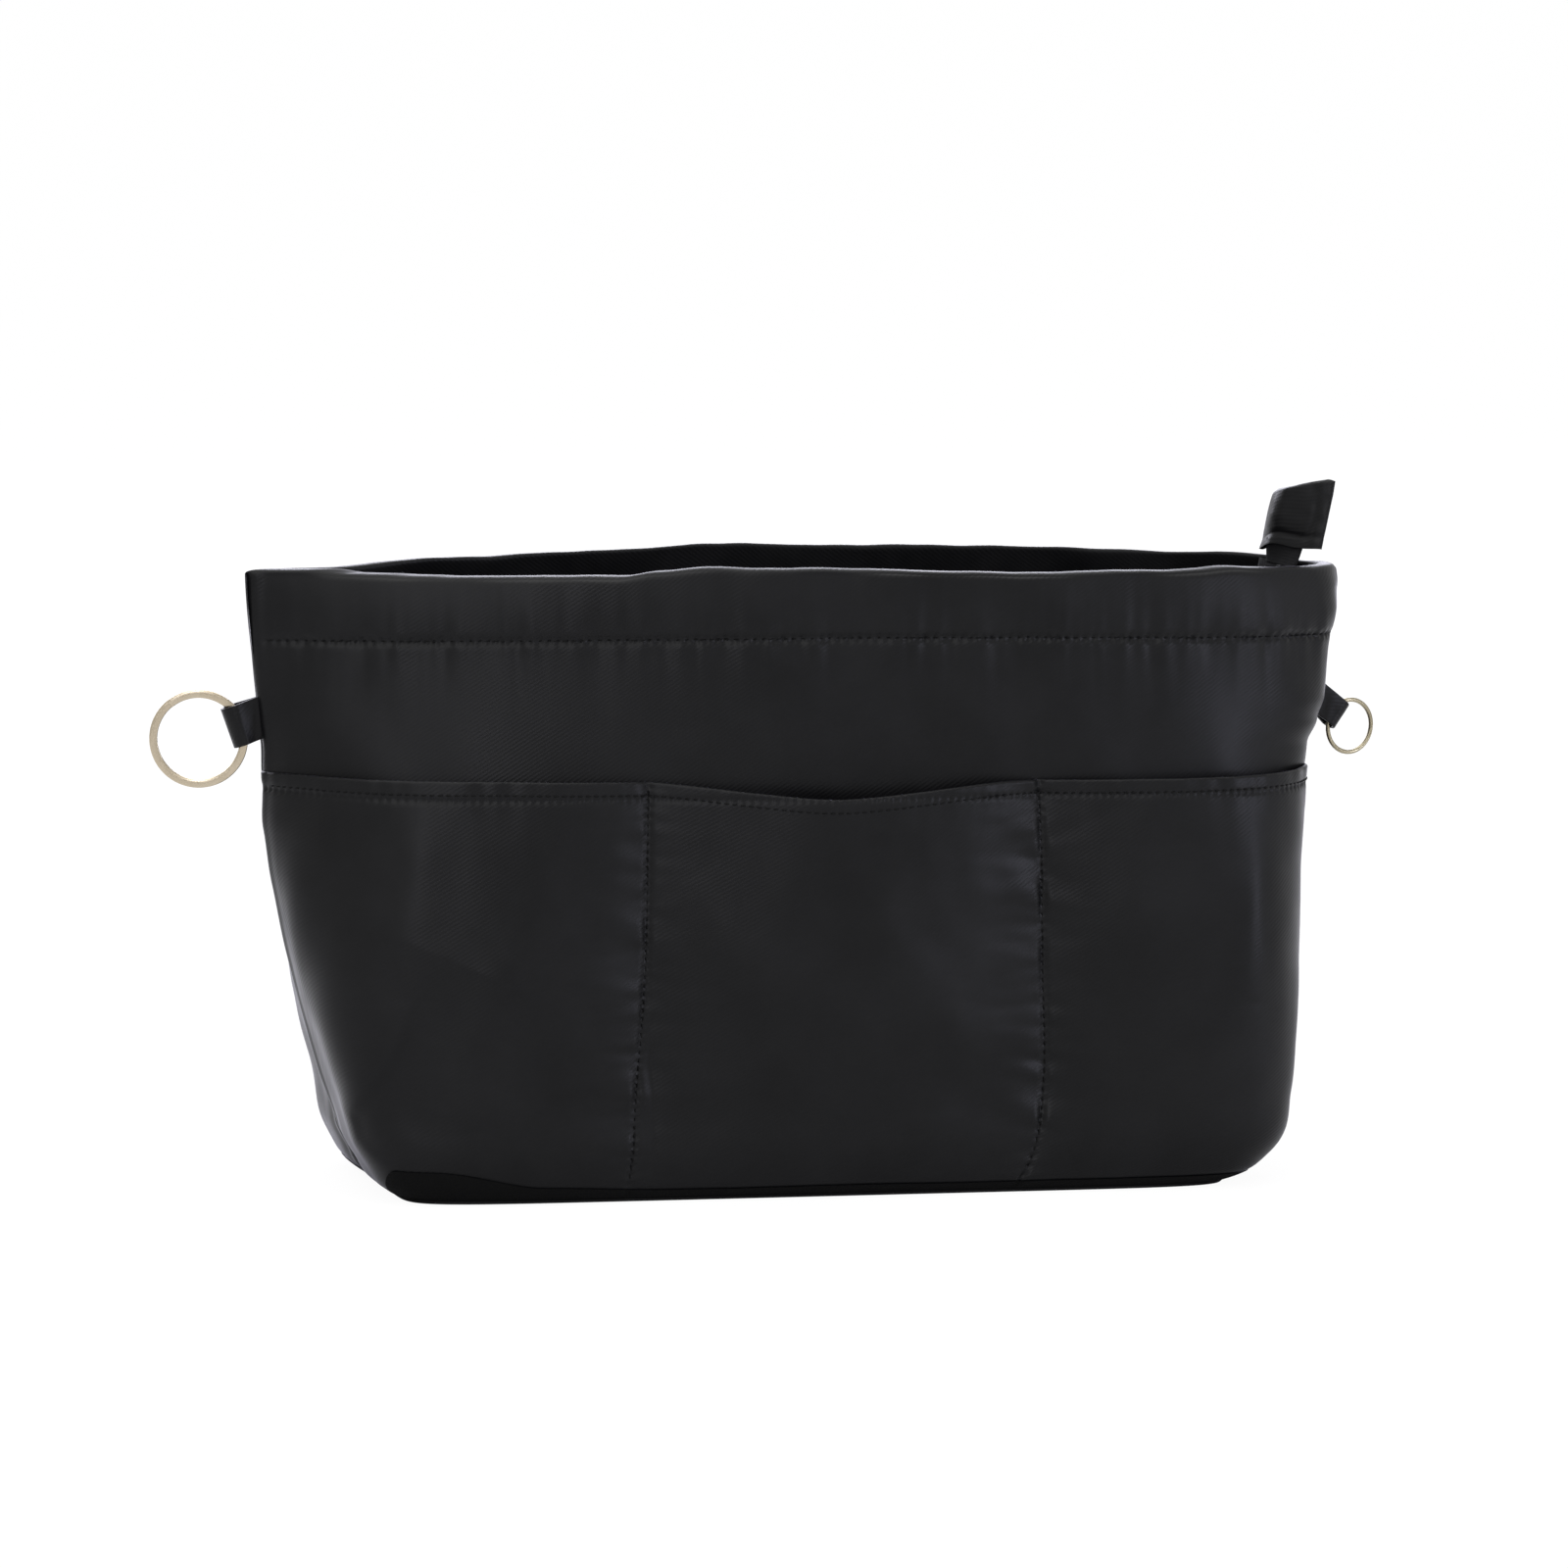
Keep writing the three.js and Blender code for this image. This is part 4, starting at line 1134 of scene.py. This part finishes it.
def cap_place(u, v):
    """Satin folded over the tail's end. The cloth runs round a flat section, and `v` runs up from its hem to
    the fold on top. It twists a little on its way up, and rolls back at its left-hand edge."""
    turn = 2 * math.pi * u
    across = squared(np.cos(turn), 0.55)
    wide = (CAP_HALF_WIDTH + mix(CAP_HEM_SPREAD, CAP_TOP_SPREAD, v)) * across
    hem = CAP_HEM - 1.6 + 2.7 * ease(-1, -0.2, across) + 1.1 * ease(0.2, 1, across)
    up = mix(hem, CAP_LENGTH + CAP_TOP_RISE + CAP_TOP_SLOPE * across, v)
    up = up + (0.35 * waves(wide / 6, 0.3, 403) - 0.9 * ease(0.75, 1.1, np.abs(across))) * v
    shut = np.sqrt(np.clip(1 - ease(0.93, 1, v) ** 2, 0.0, 1))
    deep = (CAP_THICKNESS / 2) * squared(np.sin(turn), 0.8) * mix(0.12, 1, shut)
    above = up - hem
    plump = 0.75 + 0.3 * ease(3, -6, wide) + 0.2 * bell(above, 1.6) - 0.25 * bell(above - 3, 0.9)
    crease = 0.35 * waves(wide / 5, up / 7, 401) + 0.2 * waves(wide / 2.2, up / 3, 402)
    crease += sum(fold(wide, up, *shape) for shape in CAP_FOLDS)
    rolled = np.maximum(0, -wide - CAP_ROLL_START)
    roll = 1.2 * (np.sqrt(rolled ** 2 + 3.2) - np.sqrt(3.2))
    deep = deep * plump + roll + crease * np.sign(np.sin(turn)) * 0.7
    wide = wide - 1.4 * ease(0, -8, wide) * (1 - v)
    return twisted(wide, deep, up, mix(*CAP_TWIST, ease(0, 1, v))), np.stack([u * 40, up], axis=-1)


def tape_stub_place(u, v):
    """The end of the zip's tapes, which runs up into the cap and carries it."""
    turn = 2 * math.pi * u
    up = mix(-CAP_THICKNESS / 2, CAP_HEM + 2, v)
    wide = mix(*STUB_EDGES, (squared(np.cos(turn), 0.3) + 1) / 2)
    deep = STUB_HALF_THICKNESS * squared(np.sin(turn), 0.3) + 0.25 * waves(wide / 3, up / 5, 411)
    return twisted(wide, deep, up, mix(0, CAP_TWIST[0], ease(0, 1, v))), np.stack([u * 30, up], axis=-1)


def make_cap():
    """The cap, closed at its top fold and open at its hem, and the tapes' end that carries it."""
    mesh = laid_grid(96, 60, cap_place)
    bmesh.ops.remove_doubles(mesh, verts=mesh.verts[:], dist=MERGE_DISTANCE)
    middle = (TAIL_HINGE[2] + CAP_LENGTH / 2) * MM
    top = [edge for edge in mesh.edges if edge.is_boundary and edge.verts[0].co.z > middle]
    bmesh.ops.holes_fill(mesh, edges=top, sides=0)
    bmesh.ops.recalc_face_normals(mesh, faces=mesh.faces[:])
    cap = finish_piece("tail_cap_cloth", mesh, NYLON, "cap", ("tail_cap",))
    mesh = laid_grid(48, 12, tape_stub_place)
    bmesh.ops.remove_doubles(mesh, verts=mesh.verts[:], dist=MERGE_DISTANCE)
    bmesh.ops.recalc_face_normals(mesh, faces=mesh.faces[:])
    stub = finish_piece("tail_tape_ends", mesh, TAPE, None)
    tuple(tail_point(0, 0, -1.4) * MM)
    tuple(tail_point(0, 0, 2) * MM)
    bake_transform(stub)


# Tabs and rings


def tab_axes(tab):
    """A tab's own axes: out from the seam to the ring, through its cloth and along its fold. Then the middle
    of its root, and how far the seam slopes."""
    turn, droop, side = math.radians(tab["turn"]), math.radians(tab["droop"]), tab["side"]
    sideways = np.array([side * math.cos(turn), side * math.sin(turn), 0])
    out = sideways * math.cos(droop) + np.array([0, 0, -math.sin(droop)])
    flat = unit(np.cross([0, 0, 1], out))
    along_fold = np.cross(out, flat)
    up = tab["place"] / HEIGHT
    step = tab["rise"] / HEIGHT / 2
    reach = float(half_width(side, up)) + SEWN_GAP + TAB_ROOT_RADIUS
    root = np.array([side * reach, 0, tab["place"]])
    slope = float(half_width(side, up + step) - half_width(side, up - step))
    seam = unit([side * slope, 0, tab["rise"]])
    return out, flat, along_fold, root, seam.dot(out) / seam.dot(along_fold)


def make_tab(name, tab, hole, replaced):
    """A strip of satin folded round the ring's wire, with its ends sewn into the side seam."""
    out, flat, along_fold, root, slant = tab_axes(tab)
    loop = hole + TAB_CLOTH / 2
    # The two layers lie a little apart where they are sewn in, and leave the loop before it is full
    half = TAB_CLOTH * 0.62
    reach = tab["reach"]
    straight = reach + TAB_TAIL
    open_angle = math.acos(np.clip((TAB_ROOT_RADIUS - loop) / straight, -1, 1)) * 0.92
    arc = 2 * open_angle * loop
    loop_x, loop_y = reach + loop * math.cos(open_angle), loop * math.sin(open_angle)

    def place(u, v):
        run = u * (2 * straight + arc)
        turn = np.clip((run - straight) / loop, 0, 2 * open_angle) - open_angle
        first = np.clip(run / straight, 0, 1)
        last = np.clip((run - straight - arc) / straight, 0, 1)
        on_loop = (first >= 1) & (last <= 0)
        x = np.where(first < 1, mix(-TAB_TAIL, loop_x, first), mix(loop_x, -TAB_TAIL, last))
        x = np.where(on_loop, reach + loop * np.cos(turn), x)
        y = np.where(first < 1, mix(-half, -loop_y, first ** 1.6), mix(loop_y, half, 1 - (1 - last) ** 1.6))
        y = np.where(on_loop, loop * np.sin(turn), y)
        along = (v - 0.5) * tab["rise"]
        y = y + 0.12 * waves(x / 2.5, along / 4, 501) * np.sign(y)
        x = x + slant * along * np.clip(1 - x / reach, 0, 1)
        points = root + np.multiply.outer(x, out) + np.multiply.outer(y, flat) \
            + np.multiply.outer(along, along_fold)
        return points, np.stack([run, along], axis=-1)

    mesh = laid_grid(64, 16, place, turned=tab["side"] > 0)
    piece = finish_piece(name, mesh, NYLON, None, (replaced,))
    thicken(piece, TAB_CLOTH)
    round_edges(piece, 0.25, 2)
    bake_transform(piece)


def ring_line(tab, ring_out, mean, angle, rise=0):
    """Points round a ring that hangs in a tab, at each angle and `rise`, and the way through its flat."""
    out, flat, along_fold, root, _ = tab_axes(tab)
    centre = root + out * (tab["reach"] + ring_out)
    points = centre + np.multiply.outer(mean * np.cos(angle), out) \
        + np.multiply.outer(mean * np.sin(angle), along_fold) \
        + np.multiply.outer(np.broadcast_to(rise, angle.shape), -flat)
    return points, np.tile(-flat, (len(angle), 1))


def make_split_ring():
    """A split ring: flat spring wire wound nearly twice, its turns lying on each other."""
    part = np.linspace(0, 1, 180)
    angle = math.radians(KEY_RING_START) + 2 * math.pi * KEY_RING_TURNS * part
    rise = KEY_RING_PITCH * KEY_RING_TURNS * (part - 0.5)
    points, ups = ring_line(LEFT_TAB, LEFT_RING_OUT, KEY_RING_MEAN, angle, rise)
    mesh = tube(points, ups, (KEY_RING_BAND / 2, KEY_RING_WIRE / 2), 16, squareness=0.55)
    finish_piece("split_ring", mesh, CHAMPAGNE, "large_ring", ("key_ring",))


def make_round_ring():
    """A ring of round wire, closed."""
    angle = np.linspace(0, 2 * math.pi, 120, endpoint=False)
    points, ups = ring_line(RIGHT_TAB, RIGHT_RING_OUT, SMALL_RING_MEAN, angle)
    mesh = tube(points, ups, (SMALL_RING_WIRE / 2, SMALL_RING_WIRE / 2), 14, closed=True)
    finish_piece("round_ring", mesh, ANTIQUE_NICKEL, "little_ring", ("small_ring",))


# Carried-over nodes, room, light and camera


def dress_nodes():
    """Gives the CAD nodes that stay their finishes, and rounds the edges of the metal ones."""
    metal_nodes = ("zip_slider", "slider_bridge", "zip_pull")
    for name in ("base_board", *metal_nodes):
        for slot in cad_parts[name].material_slots:
            slot.material = GUNMETAL if name in metal_nodes else BOARD
    for name in metal_nodes:
        round_edges(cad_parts[name], 0.3, 3)


def make_floor():
    """A pale floor that shows nearly white to the camera and still takes the shadow."""
    mesh = bmesh.new()
    bmesh.ops.create_grid(mesh, x_segments=1, y_segments=1, size=16)
    data = bpy.data.meshes.new("floor")
    mesh.to_mesh(data)
    mesh.free()
    floor = bpy.data.objects.new("floor", data)
    bpy.context.scene.collection.objects.link(floor)
    material, tree, shader = new_material("pale floor")
    put(tree, shader, Base_Color=linear("#f6f6f6"), Roughness=0.9, Specular_IOR_Level=0.1)
    glow = add(tree, "Emission", Color=(1, 1, 1, 1), Strength=1.02)
    seen = add(tree, "LightPath").outputs["Is Camera Ray"]
    share = add(tree, "Math", {"operation": "MULTIPLY"}, _0=seen, _1=0.93)
    both = add(tree, "MixShader", _0=share.outputs[0], _1=shader.outputs[0], _2=glow.outputs[0])
    output = next(n for n in tree.nodes if n.type == "OUTPUT_MATERIAL")
    tree.links.new(both.outputs[0], output.inputs["Surface"])
    data.materials.append(material)


def make_world():
    """White to the camera, in metal and through glass, and half as bright as a light."""
    world = bpy.data.worlds.new("studio")
    bpy.context.scene.world = world
    world.use_nodes = True
    tree = world.node_tree
    background = tree.nodes["Background"]
    background.inputs["Color"].default_value = (1, 1, 1, 1)
    path = add(tree, "LightPath")
    seen = add(tree, "Math", {"operation": "MAXIMUM"}, _0=path.outputs["Is Camera Ray"],
               _1=path.outputs["Is Transmission Ray"])
    seen = add(tree, "Math", {"operation": "MAXIMUM"}, _0=seen.outputs[0], _1=path.outputs["Is Glossy Ray"])
    strength = add(tree, "MapRange", Value=seen.outputs[0], To_Min=0.5, To_Max=1.0)
    tree.links.new(strength.outputs[0], background.inputs["Strength"])


LAMP_TARGET = Vector((0, 0, 0.09))


def add_lamp(name, place, size, power, colour="#ffffff"):
    data = bpy.data.lights.new(name, "AREA")
    data.shape, data.size, data.size_y, data.energy = "RECTANGLE", size[0], size[1], power
    data.color = linear(colour)[:3]
    lamp = bpy.data.objects.new(name, data)
    bpy.context.scene.collection.objects.link(lamp)
    lamp.location = place
    lamp.rotation_euler = (LAMP_TARGET - Vector(place)).to_track_quat("-Z", "Y").to_euler()


def make_lights():
    add_lamp("overhead softbox", (0.0, 0.1, 1.6), (1.4, 1.0), 12)
    add_lamp("back softbox", (-0.2, 1.7, 0.85), (2.4, 0.8), 34, "#f0f0ff")
    add_lamp("left softbox", (-0.6, -1.7, 0.75), (0.35, 0.9), 5, "#f4f4ff")
    add_lamp("right softbox", (1.35, -1.1, 0.42), (0.2, 0.8), 7.5, "#e6e8ff")
    data = bpy.data.lights.new("daylight", "SUN")
    data.energy, data.angle = 1.0, math.radians(50)
    lamp = bpy.data.objects.new("daylight", data)
    bpy.context.scene.collection.objects.link(lamp)
    lamp.rotation_euler = (math.radians(35), 0, math.radians(-25))


def make_camera():
    """The photographer's camera: a long lens from a little to the left and above."""
    azimuth, elevation, roll = (math.radians(v) for v in (CAMERA_AZIMUTH, CAMERA_ELEVATION, CAMERA_ROLL))
    back = Vector((math.sin(azimuth) * math.cos(elevation), -math.cos(azimuth) * math.cos(elevation),
                   math.sin(elevation)))
    right = (-back).cross(Vector((0, 0, 1))).normalized()
    up = right.cross(-back)
    tilted = right * math.cos(roll) + up * math.sin(roll)
    upright = up * math.cos(roll) - right * math.sin(roll)
    data = bpy.data.cameras.new("camera")
    data.lens, data.sensor_width = CAMERA_LENS, 36
    data.clip_end = 100
    camera = bpy.data.objects.new("camera", data)
    bpy.context.scene.collection.objects.link(camera)
    turn = Matrix((tilted, upright, back)).transposed().to_4x4()
    camera.matrix_world = Matrix.Translation((CAMERA_TARGET + back * CAMERA_DISTANCE) * MM) @ turn
    bpy.context.scene.camera = camera


bpy.context.scene.view_settings.view_transform = "Standard"
make_camera()
make_shells()
make_boning()
make_patch_pockets()
make_inside()
for zip_side, zip_face in SIDES:
    make_wing(zip_side, zip_face)
    make_tail(zip_side, zip_face)
make_cap()
make_tab("left_tab_cloth", LEFT_TAB, LEFT_HOLE, "left_tab")
make_tab("right_tab_cloth", RIGHT_TAB, RIGHT_HOLE, "right_tab")
make_split_ring()
make_round_ring()
dress_nodes()
make_floor()
make_world()
make_lights()
